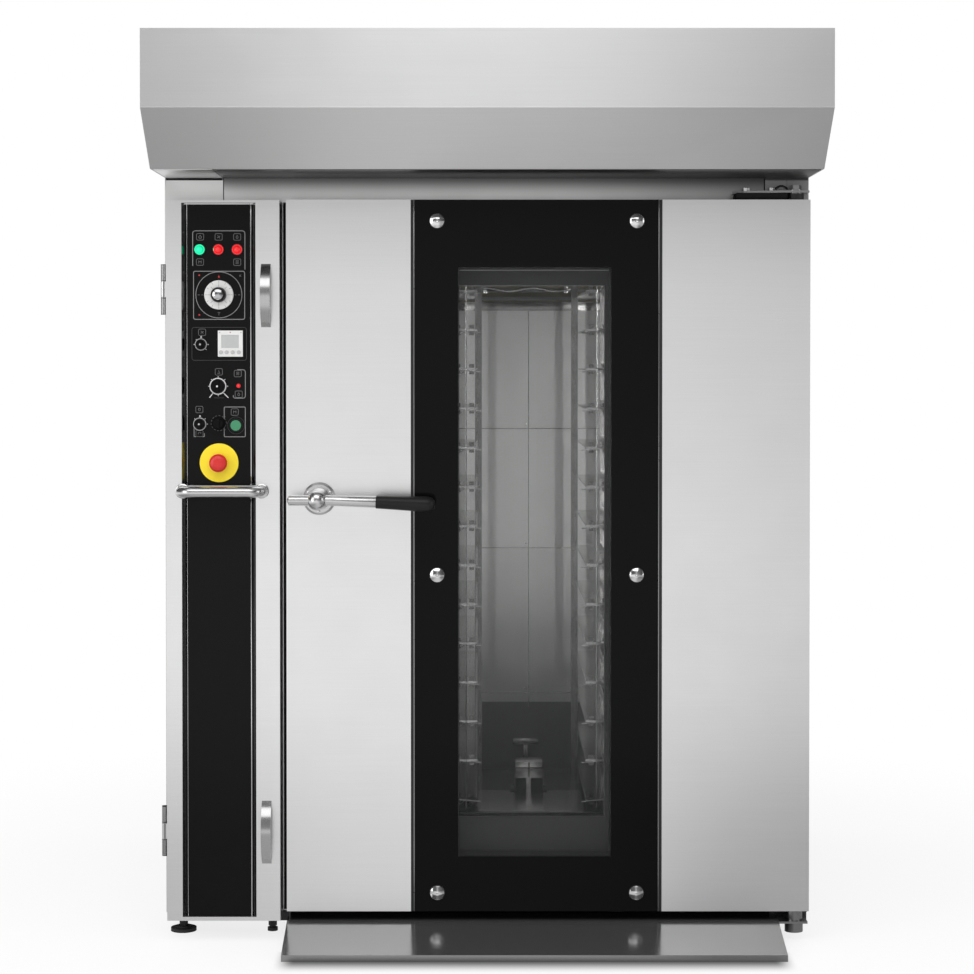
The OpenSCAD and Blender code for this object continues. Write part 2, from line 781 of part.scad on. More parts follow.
module door_frame() color("gray") difference() {
    union() {
        door_pan();
        rod_z(pivot_x, pivot_y, boss_radius, door_top - 30, door_top + boss_height);
        // blocks of the pivots
        for (z = [door_bottom, door_top - 40])
            span([pivot_x - 25, core_front + 1, z], [door_right - skin, core_back, z + 40]);
        // bush of the latch spindle
        rod_y(lever_x, lever_height, 22, core_front + 1, core_back);
        // bosses of the glass bolts
        glass_bolt_places() rod_y(0, 0, 12, core_front + 1, core_front + 28);
    }
    // window
    span([window_left, core_front - 1, window_bottom], [window_right, core_back + 1, window_top]);
    // bores of the pivots
    rod_z(pivot_x, pivot_y, pivot_radius + running_fit, door_top - 14, door_top + boss_height + 1);
    rod_z(pivot_x, pivot_y, pivot_radius + running_fit, door_bottom - 1, door_bottom + 16);
    // bore of the latch spindle
    rod_y(lever_x, lever_height, spindle_radius + running_fit, core_front - 1, core_back + 1);
    glass_bolt_places() rod_y(0, 0, bolt_radius + running_fit, core_front - 1, core_front + 22);
}

// Steel skin folded round the edge of the door
module door_skin(x0, x1, edge) {
    span([x0, door_y, door_bottom], [x1, core_front, door_top]);
    span([edge, core_front, door_bottom], [edge + skin, core_back, door_top]);
}

module door_left_skin() color("silver") difference() {
    door_skin(door_left, door_left + left_skin_width, door_left);
    rod_y(lever_x, lever_height, spindle_radius + running_fit, door_y - 1, core_front + 1);
}

module door_right_skin() color("silver") door_skin(door_right - right_skin_width, door_right, door_right - skin);

module door_outer_glass() color("black") difference() {
    span([glass_left, door_y, door_bottom], [glass_right, core_front, door_top]);
    glass_bolt_places() rod_y(0, 0, bolt_radius + running_fit, door_y - 1, core_front + 1);
}

module door_inner_glass() color("lightblue")
    span([window_left + gap, core_back - inner_glass, window_bottom + gap],
        [window_right - gap, core_back, window_top - gap]);

module door_liner() color("silver") difference() {
    span([door_left + skin, core_back, door_bottom], [door_right - skin, door_back, door_top]);
    span([liner_window_left, core_back - 1, liner_window_bottom], [liner_window_right, door_back + 1, liner_window_top]);
    rod_y(lever_x, lever_height, spindle_radius + running_fit, core_back - 1, door_back + 1);
}

module glass_bolts() color("silver") glass_bolt_places() {
    rod_y(0, 0, bolt_radius, door_y, core_front + 20);
    rod_y(0, 0, 16, door_y - 3, door_y);
    translate([0, door_y - 3, 0]) rotate([90, 0, 0]) rotate_extrude() intersection() {
        translate([0, -26]) circle(r = 30.5);
        square([16, 5]);
    }
}

module door_gasket() color("dimgray") {
    overlap = 30;
    left = portal_left - overlap;
    right = portal_right + overlap;
    top = portal_top + overlap;
    difference() {
        span([left, door_back, floor_height + 3], [right, header_y - gap, top]);
        span([left + 18, door_back - 1, floor_height + 33], [right - 18, header_y + 1, top - 18]);
    }
    // sweep under the door, beside the frame of the seal
    for (x = [[door_left + skin, left], [right, ramp_right - 11]])
        span([x[0], door_back, floor_height + 3], [x[1], header_y - gap, door_bottom + 25]);
}

module handle_rose() color("silver") difference() {
    translate([lever_x, door_y, lever_height]) rotate([90, 0, 0]) rotate_extrude()
        polygon([[0, 0], [rose_radius, 0], [rose_radius, 4], [rose_radius - 5, rose_height],
            [25, rose_height], [25, rose_height + 6], [20, rose_boss], [0, rose_boss]]);
    rod_y(lever_x, lever_height, spindle_radius + running_fit, door_y - rose_boss - 1, door_y + 1);
}

// ------------------------------------------------------------------ lever

module lever_arm() color("silver") {
    rod_y(lever_x, lever_height, 15, lever_y, door_y - rose_boss - 0.5);
    translate([lever_x, lever_y, lever_height]) sphere(r = 23);
    rod_x(lever_y, lever_height, 8, lever_x - stub_length + 6, lever_x);
    translate([lever_x - stub_length + 6, lever_y, lever_height]) sphere(r = 10);
    translate([lever_x, lever_y, lever_height]) rotate([0, 90, 0]) cylinder(r1 = 12, r2 = 10, h = grip_start);
}

module lever_grip() color("black") translate([lever_x + grip_start, lever_y, lever_height])
    rotate([0, 90, 0]) rotate_extrude() {
        polygon([[0, 0], [12, 0], [14, 4], [16, grip_length - 16], [0, grip_length - 16]]);
        intersection() {
            translate([0, grip_length - 16]) circle(r = 16);
            translate([0, grip_length - 16]) square([16, 16]);
        }
    }

module latch_spindle() color("silver") {
    rod_y(lever_x, lever_height, spindle_radius, door_y - rose_boss - 0.5, tongue_y + tongue);
    difference() {
        union() {
            rod_y(lever_x, lever_height, 15, tongue_y, tongue_y + tongue);
            span([lever_x - tongue_length, tongue_y, lever_height - 10], [lever_x, tongue_y + tongue, lever_height + 10]);
        }
        rod_y(lever_x, lever_height, spindle_radius - 1, tongue_y - 1, tongue_y + tongue + 1);
    }
}

// ----------------------------------------------------------- control door

module control_door() color("silver") {
    difference() {
        span([control_left, control_y, skirt_height], [control_right, control_back, control_top]);
        // recess of both panels, with the mid rail between them
        for (z = [[recess_bottom, guard_height - rail_half], [guard_height + rail_half, recess_top]]) {
            span([recess_left, control_y - 1, z[0]], [recess_right, panel_back, z[1]]);
            span([panel_left + 8, control_y - 1, z[0] + 8], [panel_right - 8, control_back + 1, z[1] - 8]);
        }
    }
    // moving knuckles of the hinges
    for (z = hinge_heights) difference() {
        low = z - knuckle_length / 2 + gap;
        high = z + knuckle_length / 2 - gap;
        union() {
            rod_z(hinge_x, hinge_y, hinge_radius, low, high);
            span([hinge_x, hinge_y - 5, low], [control_left + 0.1, hinge_y - 1, high]);
        }
        rod_z(hinge_x, hinge_y, hinge_pin + running_fit, low - 1, high + 1);
    }
}

// Hole in the panel at a place [x, z]
module panel_hole(place, r) rod_y(place[0], place[1], r, panel_face - 1, panel_back + 1);

module control_panel() color("black") difference() {
    span([panel_left, panel_face, guard_height + rail_half], [panel_right, panel_back, recess_top]);
    for (p = [thermostat_place, fan_place, steam_place, light_place, mode_place])
        panel_hole(p, stem_radius + running_fit);
    panel_hole(start_place, start_radius + running_fit);
    panel_hole(estop_place, estop_stem + running_fit);
    for (p = concat(lamp_places, [led_place])) panel_hole(p, 4);
}

module lower_panel() color("black")
    span([panel_left, panel_face, recess_bottom], [panel_right, panel_back, guard_height - rail_half]);

// Quarter of a bent tube in the XY plane
module tube_bend(r_bend, r_tube) rotate_extrude(angle = 90) translate([r_bend, 0]) circle(r = r_tube);

module guard_handle() color("silver") {
    r = guard_tube / 2;
    bend = 26;
    reach = 50;
    left = panel_left - 11;
    right = panel_right + 26;
    front = control_y - reach;
    rod_x(front, guard_height, r, left + bend, right - bend);
    translate([left + bend, front + bend, guard_height]) rotate([0, 0, 180]) tube_bend(bend, r);
    translate([right - bend, front + bend, guard_height]) rotate([0, 0, 270]) tube_bend(bend, r);
    rod_y(left, guard_height, r, front + bend, control_y);
    rod_y(right, guard_height, r, front + bend, control_y);
}

module bow_outline() intersection() {
    rise = 34;
    half = 72.5;
    radius = (half * half + rise * rise) / (2 * rise);
    difference() {
        translate([radius - rise, 0]) circle(r = radius, $fn = 96);
        translate([radius - rise, 0]) circle(r = radius - 5, $fn = 96);
    }
    translate([-rise - 5, -half - 5]) square([rise + 5, 2 * half + 10]);
}

module pull_handles() color("silver") for (z = pull_heights) {
    x = control_right - 31;
    translate([x - 11, control_y, z]) rotate([90, 0, 90]) linear_extrude(22) bow_outline();
}

module lamp(place, r, rise) {
    translate([place[0], panel_face, place[1]]) rotate([90, 0, 0]) rotate_extrude() {
        square([r, 3]);
        intersection() {
            translate([0, 3]) circle(r = r * 0.8);
            square([r, rise + 3]);
        }
    }
    rod_y(place[0], place[1], 4 - running_fit, panel_face, panel_back);
}

module indicator_lamps() color("red") {
    for (p = lamp_places) lamp(p, 11.75, 10);
    lamp(led_place, 4.5, 4);
}

module timer_display() color("white") {
    x = timer_place[0];
    z = timer_place[1];
    difference() {
        span([x - 28.5, panel_face - 5, z - 30], [x + 28.5, panel_face, z + 30]);
        span([x - 20.5, panel_face - 6, z - 10], [x + 19.5, panel_face - 3.5, z + 20]);
    }
    for (k = [-21.5, -8.5, 5.5, 19.5]) span([x + k - 4.8, panel_face - 6.5, z - 27], [x + k + 4.8, panel_face - 5, z - 13]);
}

module estop_plate() color("gold") difference() {
    rod_y(estop_place[0], estop_place[1], estop_plate_radius, panel_face - 3, panel_face);
    rod_y(estop_place[0], estop_place[1], estop_stem + running_fit, panel_face - 4, panel_face + 1);
}

// Turned knob with a raised pointer bar, its stem reaches through the panel
module knob(place, r, rise) {
    translate([place[0], panel_face - gap, place[1]]) rotate([90, 0, 0]) {
        rotate_extrude() polygon([[0, 0], [r, 0], [r, 5], [r * 0.82, 8], [r * 0.76, rise - 2], [r * 0.68, rise], [0, rise]]);
        translate([-2.5, -r * 0.7, 0]) cube([5, r * 1.4, rise + 4]);
    }
    rod_y(place[0], place[1], stem_radius, panel_face - gap, panel_back + 6);
}

module thermostat_knob() color("white") {
    translate([thermostat_place[0], panel_face - gap, thermostat_place[1]]) rotate([90, 0, 0])
        rotate_extrude() polygon([[0, 0], [33.5, 0], [33.5, 1.5], [32, 3], [16, 3], [0, 3]]);
    knob(thermostat_place, 16.5, 22);
}

module fan_knob() color("black") knob(fan_place, 13.8, 18);

module steam_knob() color("black") knob(steam_place, 19.3, 20);

module light_knob() color("black") knob(light_place, 15, 18);

module mode_knob() color("black") knob(mode_place, 16, 18);

module start_button() color("seagreen") {
    rod_y(start_place[0], start_place[1], start_radius, panel_face - 6, panel_back + 8);
    rod_y(start_place[0], start_place[1], 12, panel_face - 9, panel_face - 4);
}

module estop_button() color("red") {
    translate([estop_place[0], panel_face, estop_place[1]]) rotate([90, 0, 0]) rotate_extrude()
        polygon([[0, 14], [estop_head - 3, 14], [estop_head, 17], [estop_head, 25], [estop_head - 4, 30],
            [estop_head / 2, 32.5], [0, 33]]);
    rod_y(estop_place[0], estop_place[1], estop_stem, panel_face - 15, panel_back + 10);
}

// ------------------------------------------------------------------- rack

rack_left = rack_offset - rack_width / 2;
rack_right = rack_offset + rack_width / 2;
rack_front = rack_y - rack_depth / 2;
rack_back = rack_y + rack_depth / 2;
stop_inset = 83;
stop_width = 18;

module rack_frame() color("silver") {
    // corner posts
    for (x = [rack_left, rack_right - tube]) for (y = [rack_front, rack_back - tube])
        span([x, y, base_rail_low], [x + tube, y + tube, rack_top]);
    // rails at the base and the top
    for (z = [base_rail_low, rack_top - tube]) {
        for (x = [rack_left, rack_right - tube])
            span([x, rack_front + tube, z], [x + tube, rack_back - tube, z + tube]);
        for (y = [rack_front, rack_back - tube])
            span([rack_left + tube, y, z], [rack_right - tube, y + tube, z + tube]);
    }
    // bar that the hook carries
    span([rack_offset - 15, rack_front + tube, rack_top - tube], [rack_offset + 15, rack_back - tube, rack_top]);
    // back stops of the trays
    for (x = [rack_left + stop_inset, rack_right - stop_inset - stop_width])
        span([x, rack_back - 4, base_rail_top], [x + stop_width, rack_back, rack_top - tube]);
    // pan with the hub that turns on the floor pin
    difference() {
        union() {
            span([rack_left + pan_edge, rack_front + pan_edge, base_rail_top],
                [rack_right - pan_edge, rack_back - pan_edge, pan_height]);
            for (y = [rack_y - 60, rack_y + 35])
                span([rack_left + tube, y, base_rail_low], [rack_right - tube, y + tube, base_rail_top]);
            for (y = [rack_y - castor_y, rack_y + castor_y]) span([rack_left + tube, y - 35, base_rail_low],
                [rack_right - tube, y + 35, base_rail_low + 5]);
            span([rack_offset - hub_half, rack_y - hub_half, base_rail_low],
                [rack_offset + hub_half, rack_y + hub_half, pan_height + hub_rise]);
        }
        rod_z(rack_offset, rack_y, pin_radius + running_fit, base_rail_low - 1, pin_top + 2);
        // bores of the swivel castors' king pins
        for (s = [-1, 1]) rod_z(rack_offset + s * castor_x, rack_y - castor_y, king_radius + running_fit,
            base_rail_low - 1, base_rail_low + 6);
    }
    // fixed forks at the back
    for (s = [-1, 1]) castor_fork(rack_offset + s * castor_x, rack_y + castor_y, 0);
}

module rack_ledges() color("silver") for (i = [0:tiers - 1]) {
    z = first_ledge + i * ledge_pitch;
    thick = 2;
    for (s = [-1, 1]) {
        outer = rack_offset + s * (rack_width / 2 - tube);
        inner = outer - s * ledge_width;
        wall = outer - s * thick;
        span([min(outer, inner), rack_front, z], [max(outer, inner), rack_back - 4, z + thick]);
        span([min(outer, wall), rack_front, z + thick], [max(outer, wall), rack_back - 4, z + ledge_web]);
    }
}

module rack_shaft() color("dimgray") {
    difference() {
        translate([rack_offset, rack_y, gear_z]) linear_extrude(gear_thick) difference() {
            gear_outline(rack_teeth, gear_module, 0);
            for (a = [0:60:300]) rotate(a) translate([gear_radius * 0.58, 0]) circle(r = gear_radius * 0.2);
        }
        rod_z(rack_offset, rack_y, shaft_radius - 1, gear_z - 1, gear_z + gear_thick + 1);
    }
    rod_z(rack_offset, rack_y, shaft_radius, shaft_low, gear_z + gear_thick + 5);
    rod_z(rack_offset, rack_y, 30, deck_top + bearing_height + gap, gear_z);
    // cradle round the rack's carrying bar
    bar = 15;
    low = rack_top - tube - 14;
    difference() {
        span([rack_offset - 32, rack_y - 22, low], [rack_offset + 32, rack_y + 22, shaft_low]);
        span([rack_offset - bar - gap, rack_y - 23, rack_top - tube], [rack_offset + bar + gap, rack_y + 23, rack_top + 4]);
    }
}

// Fork of a castor, its wheel lies behind the king pin by the trail
module castor_fork(x, y, trail) {
    top = base_rail_low;
    cheek_low = wheel_z - 12;
    span([x - 30, y - 30, top - castor_plate], [x + 30, y + 30, top]);
    arch = top - castor_plate - castor_neck;
    rod_z(x, y, 20, arch, top - castor_plate);
    half = fork_gap / 2;
    span([x - half - fork_cheek, y - 22, arch - 5], [x + half + fork_cheek, y + 22 + trail, arch]);
    for (s = [-1, 1]) {
        inner = x + s * half;
        outer = x + s * (half + fork_cheek);
        span([min(inner, outer), y - 18 + trail, cheek_low], [max(inner, outer), y + 18 + trail, arch - 5]);
    }
    rod_x(y + trail, wheel_z, axle_radius, x - half - fork_cheek - 4, x + half + fork_cheek + 4);
}

// Swivelling fork with its king pin
module swivel_fork(x, y) {
    castor_fork(x, y, castor_trail);
    rod_z(x, y, king_radius, base_rail_low, base_rail_low + 12);
}

module left_castor_fork() color("silver") swivel_fork(rack_offset - castor_x, rack_y - castor_y);

module right_castor_fork() color("silver") swivel_fork(rack_offset + castor_x, rack_y - castor_y);

module wheel(x, y) color("dimgray") translate([x - wheel_width / 2, y, wheel_z]) rotate([0, 90, 0])
    rotate_extrude() {
        r = axle_radius + running_fit;
        w = wheel_width;
        polygon([[r, -1], [r + 8, -1], [r + 8, 6], [wheel_radius - 14, 8], [wheel_radius - 14, 2],
            [wheel_radius - 4, 2], [wheel_radius, 7], [wheel_radius, w - 7], [wheel_radius - 4, w - 2],
            [wheel_radius - 14, w - 2], [wheel_radius - 14, w - 8], [r + 8, w - 6], [r + 8, w + 1], [r, w + 1]]);
    }

module front_left_wheel() wheel(rack_offset - castor_x, rack_y - castor_y + castor_trail);

module front_right_wheel() wheel(rack_offset + castor_x, rack_y - castor_y + castor_trail);

module rear_left_wheel() wheel(rack_offset - castor_x, rack_y + castor_y);

module rear_right_wheel() wheel(rack_offset + castor_x, rack_y + castor_y);

// ----------------------------------------------------------------- drives

module drive_pinion() color("dimgray") {
    translate([pinion_x, rack_y, gear_z]) linear_extrude(gear_thick)
        gear_outline(pinion_teeth, gear_module, 180 + 180 / pinion_teeth);
    rod_z(pinion_x, rack_y, output_radius, gear_z + gear_thick, motor_plate_z + 50);
    rod_z(pinion_x, rack_y, 20, gear_z + gear_thick, gear_z + gear_thick + 6);
}

module blade() intersection() {
    difference() {
        translate([70, -40]) circle(r = 62);
        translate([70, -40]) circle(r = 59);
    }
    difference() {
        circle(r = impeller_radius - 1);
        circle(r = 45);
    }
    square([120, 120]);
}

module fan_impeller() color("silver") translate([rack_offset, fan_y, impeller_z]) {
    height = impeller_height;
    cylinder(r = impeller_radius, h = 3);
    cylinder(r = 24, h = height);
    for (a = [0:30:330]) rotate([0, 0, a]) translate([0, 0, 3]) linear_extrude(height - 6) blade();
    translate([0, 0, height - 3]) difference() {
        cylinder(r = impeller_radius, h = 3);
        translate([0, 0, -1]) cylinder(r = 70, h = 5);
    }
    cylinder(r = output_radius, h = deck_top + 50 - impeller_z);
}

base_frame();
levelling_feet();
left_side_panel();
right_side_panel();
rear_panel();
top_panel();
front_frame();
control_cabinet();
control_hinges();
chamber_liner();
chamber_floor();
chamber_back_wall();
insulation();
roof_deck();
heater_bank();
fan_motor();
steam_generator();
hood_canopy();
entry_ramp();
door_brackets();
gear_motor();
shaft_bearing();
door_frame();
door_left_skin();
door_right_skin();
door_outer_glass();
door_inner_glass();
door_liner();
glass_bolts();
door_gasket();
handle_rose();
lever_arm();
lever_grip();
latch_spindle();
control_door();
control_panel();
lower_panel();
guard_handle();
pull_handles();
indicator_lamps();
timer_display();
estop_plate();
thermostat_knob();
fan_knob();
steam_knob();
light_knob();
mode_knob();
start_button();
estop_button();
rack_frame();
rack_ledges();
rack_shaft();
left_castor_fork();
right_castor_fork();
front_left_wheel();
front_right_wheel();
rear_left_wheel();
rear_right_wheel();
drive_pinion();
fan_impeller();
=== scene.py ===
"""Looks of the rotating rack oven: finishes, trim, panel prints, fasteners and the studio.

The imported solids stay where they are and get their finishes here. Trim, printed lines, seams and
small fasteners are added as pieces that ride on the same bodies. All lengths are in metres.
"""

import json
import logging
import math
from dataclasses import dataclass
from enum import Enum
from typing import Iterable, Mapping, Sequence, Union

import bmesh
import bpy
from mathutils import Matrix, Vector

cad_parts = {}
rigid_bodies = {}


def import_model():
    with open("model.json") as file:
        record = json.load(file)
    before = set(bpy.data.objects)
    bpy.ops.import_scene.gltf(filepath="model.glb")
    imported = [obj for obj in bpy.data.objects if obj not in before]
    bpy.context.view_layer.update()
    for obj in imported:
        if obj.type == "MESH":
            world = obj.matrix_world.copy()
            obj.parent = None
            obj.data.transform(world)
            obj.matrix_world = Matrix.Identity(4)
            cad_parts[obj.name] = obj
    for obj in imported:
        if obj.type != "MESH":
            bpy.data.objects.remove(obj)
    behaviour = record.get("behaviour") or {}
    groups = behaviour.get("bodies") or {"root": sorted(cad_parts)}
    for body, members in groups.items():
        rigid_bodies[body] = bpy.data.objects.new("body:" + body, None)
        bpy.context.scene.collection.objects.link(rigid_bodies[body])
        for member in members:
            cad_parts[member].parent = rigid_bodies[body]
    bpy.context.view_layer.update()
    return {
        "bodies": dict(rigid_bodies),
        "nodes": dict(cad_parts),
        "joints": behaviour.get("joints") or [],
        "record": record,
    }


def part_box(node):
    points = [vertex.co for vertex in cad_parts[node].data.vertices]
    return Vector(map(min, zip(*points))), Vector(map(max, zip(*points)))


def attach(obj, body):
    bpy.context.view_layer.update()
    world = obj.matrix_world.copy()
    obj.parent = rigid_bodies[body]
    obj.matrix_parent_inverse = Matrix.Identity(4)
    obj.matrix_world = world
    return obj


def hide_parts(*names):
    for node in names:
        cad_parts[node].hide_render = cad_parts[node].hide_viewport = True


LOG = logging.getLogger("rack_oven")
MM = 0.001

Point = tuple[float, float]
Number = Union[float, "Value"]
Triple = tuple[float, float, float]
Colour = tuple[float, float, float]


class Body(str, Enum):
    """Bodies of the frame that the new pieces ride on."""

    OVEN = "oven_body"
    DOOR = "main_door"
    LEVER = "door_lever"
    COLUMN = "panel_door"
    THERMOSTAT = "thermostat"
    FAN = "fan_dial"
    STEAM = "steam_dial"
    LIGHT = "light_dial"
    RACK = "rack"


class Slot(str, Enum):
    """Material slots of the record that the new pieces use."""

    STAINLESS = "stainless"
    POLISHED = "polished"
    MOTOR = "motor_paint"
    BLACK_PLASTIC = "black_plastic"
    WHITE_PLASTIC = "white_plastic"
    RED = "red_button"
    SEAL = "seal_rubber"


class Grain(Enum):
    """Direction in which a sheet is brushed, as lines to the metre along X, Y and Z."""

    ALONG_X = (5.0, 900.0, 900.0)
    ALONG_Z = (900.0, 900.0, 5.0)


# ------------------------------------------------------------------ shader maths


class Value:
    """A shader socket that carries a number and takes part in Python expressions."""

    def __init__(self, graph: "Graph", socket: bpy.types.NodeSocket) -> None:
        """Keeps the socket and the graph that its maths nodes go to."""
        self.graph = graph
        self.socket = socket

    def _math(self, operation: str, *operands: Number) -> "Value":
        """Adds one Math node on the given operands."""
        inputs = dict(enumerate(operands))
        return self.graph.read("ShaderNodeMath", {"operation": operation}, inputs)

    def __add__(self, other: Number) -> "Value":
        """Sum."""
        return self._math("ADD", self, other)

    def __radd__(self, other: Number) -> "Value":
        """Sum with a plain number first."""
        return self._math("ADD", other, self)

    def __sub__(self, other: Number) -> "Value":
        """Difference."""
        return self._math("SUBTRACT", self, other)

    def __rsub__(self, other: Number) -> "Value":
        """Difference with a plain number first."""
        return self._math("SUBTRACT", other, self)

    def __mul__(self, other: Number) -> "Value":
        """Product."""
        return self._math("MULTIPLY", self, other)

    def __rmul__(self, other: Number) -> "Value":
        """Product with a plain number first."""
        return self._math("MULTIPLY", other, self)

    def __truediv__(self, other: Number) -> "Value":
        """Quotient."""
        return self._math("DIVIDE", self, other)

    def __rtruediv__(self, other: Number) -> "Value":
        """Quotient with a plain number first."""
        return self._math("DIVIDE", other, self)

    def above(self, limit: Number) -> "Value":
        """1 where the number is above the limit, else 0."""
        return self._math("GREATER_THAN", self, limit)

    def below(self, limit: Number) -> "Value":
        """1 where the number is below the limit, else 0."""
        return self._math("LESS_THAN", self, limit)

    def larger(self, other: Number) -> "Value":
        """Larger of two numbers."""
        return self._math("MAXIMUM", self, other)

    def smaller(self, other: Number) -> "Value":
        """Smaller of two numbers."""
        return self._math("MINIMUM", self, other)

    def size(self) -> "Value":
        """Number without its sign."""
        return self._math("ABSOLUTE", self)

    def root(self) -> "Value":
        """Square root."""
        return self._math("SQRT", self)

    def smooth(self, low: float, high: float) -> "Value":
        """Soft step between two limits.

        Args:
            low: number where the step starts at 0.
            high: number where it reaches 1.

        Returns:
            A number from 0 to 1.
        """
        settings = {"interpolation_type": "SMOOTHSTEP"}
        inputs = {"Value": self, "From Min": low, "From Max": high}
        return self.graph.read("ShaderNodeMapRange", settings, inputs)


Input = Union[float, Sequence[float], Value, bpy.types.NodeSocket]


class Graph:
    """Node tree of one material, filled by the finishes."""

    def __init__(self, name: str) -> None:
        """Makes a material with an empty node tree.

        Args:
            name: name of the material.
        """
        self.material = bpy.data.materials.new(name)
        self.material.use_nodes = True
        self.tree = self.material.node_tree
        self.tree.nodes.clear()

    @classmethod
    def on(cls, tree: bpy.types.NodeTree) -> "Graph":
        """Takes over and empties a node tree that isn't a material's.

        Args:
            tree: the node tree, such as the world's.

        Returns:
            A graph on that tree.
        """
        graph = cls.__new__(cls)
        graph.tree = tree
        tree.nodes.clear()
        return graph

    def node(
        self,
        kind: str,
        settings: Mapping[str, object] | None = None,
        inputs: Mapping[Union[str, int], Input] | None = None,
    ) -> bpy.types.Node:
        """Adds a node of any type.

        Args:
            kind: type of the node.
            settings: the node's own settings, which are set first.
            inputs: numbers, colours or links of its sockets.

        Returns:
            The new node.
        """
        node = self.tree.nodes.new(kind)
        for key, setting in (settings or {}).items():
            setattr(node, key, setting)
        for key, value in (inputs or {}).items():
            socket = node.inputs[key]
            if isinstance(value, Value):
                self.tree.links.new(value.socket, socket)
            elif isinstance(value, bpy.types.NodeSocket):
                self.tree.links.new(value, socket)
            else:
                socket.default_value = value
        return node

    def read(
        self,
        kind: str,
        settings: Mapping[str, object] | None = None,
        inputs: Mapping[Union[str, int], Input] | None = None,
        output: Union[str, int] = 0,
    ) -> Value:
        """Adds a node and returns one of its outputs as a number."""
        return Value(self, self.node(kind, settings, inputs).outputs[output])

    def place(self) -> tuple[Value, Value, Value]:
        """Object coordinates, which are the frame's own X, Y and Z.

        Returns:
            The three coordinates in metres.
        """
        coordinates = self.node("ShaderNodeTexCoord").outputs["Object"]
        split = self.node("ShaderNodeSeparateXYZ", inputs={0: coordinates})
        x, y, z = (Value(self, socket) for socket in split.outputs[:3])
        return x, y, z

    def noise(
        self, scale: Sequence[float], detail: float = 3.0, roughness: float = 0.6
    ) -> Value:
        """Noise stretched by a scale for each axis.

        Args:
            scale: features to the metre along X, Y and Z.
            detail: octaves.
            roughness: weight of the finer octaves.

        Returns:
            A number about 0.5.
        """
        coordinates = self.node("ShaderNodeTexCoord").outputs["Object"]
        mapping = self.node("ShaderNodeMapping", inputs={"Vector": coordinates, "Scale": scale})
        inputs = {
            "Vector": mapping.outputs[0], "Scale": 1.0, "Detail": detail, "Roughness": roughness
        }
        return self.read("ShaderNodeTexNoise", None, inputs, "Fac")

    def blend(self, share: Value, first: Input, second: Input) -> bpy.types.NodeSocket:
        """Colour between two colours.

        Args:
            share: 0 for the first colour, 1 for the second.
            first: colour with alpha, or a link.
            second: colour with alpha, or a link.

        Returns:
            The colour's socket.
        """
        settings = {"data_type": "RGBA", "clamp_factor": True}
        return self.node("ShaderNodeMix", settings, {0: share, 6: first, 7: second}).outputs[2]

    def bump(self, height: Value, strength: float, distance: float) -> bpy.types.NodeSocket:
        """Normal of a surface raised by a height."""
        inputs = {"Height": height, "Strength": strength, "Distance": distance}
        return self.node("ShaderNodeBump", None, inputs).outputs[0]

    def surface(self, **inputs: Input) -> bpy.types.Node:
        """Principled shader, its sockets named with _ for a space."""
        sockets = {key.replace("_", " "): value for key, value in inputs.items()}
        return self.node("ShaderNodeBsdfPrincipled", None, sockets)

    def finish(self, shader: bpy.types.Node) -> bpy.types.Material:
        """Links a shader to the material's output."""
        self.node("ShaderNodeOutputMaterial", None, {"Surface": shader.outputs[0]})
        return self.material


def grey(tone: float) -> Colour:
    """Even grey."""
    return tone, tone, tone


def opaque(colour: Colour, gain: float = 1.0) -> tuple[float, float, float, float]:
    """Colour times a gain, with an alpha of 1."""
    red, green, blue = (min(1.0, part * gain) for part in colour)
    return red, green, blue, 1.0


# ---------------------------------------------------------------------- finishes


class Way(Enum):
    """Direction in which a painted shade darkens a finish, as X, Y and Z."""

    UP = (0.0, 0.0, 1.0)
    BACK = (0.0, 1.0, 0.0)
    RIGHT = (1.0, 0.0, 0.0)
    LEFT = (-1.0, 0.0, 0.0)


@dataclass(frozen=True)
class Falloff:
    """Soft loss of brightness from a low end to a high end, where a share of it is gone."""

    low: float
    high: float
    share: float

    def loss(self, along: Value) -> Value:
        """Share that is lost at a place."""
        return along.smooth(self.low, self.high) * self.share


@dataclass(frozen=True)
class PaintedShade:
    """Painted shade: soft darkening of a finish along one direction of the frame, standing in for
    shadow and dim reflections.
    """

    way: Way
    falloff: Falloff

    def amount(self, graph: Graph) -> Value:
        """Finds the share of the tone that the painted shade takes away.

        Args:
            graph: material that is being made.

        Returns:
            A number from 0 to the falloff's share.
        """
        x, y, z = graph.place()
        right, back, up = self.way.value
        return self.falloff.loss(x * right + y * back + z * up)


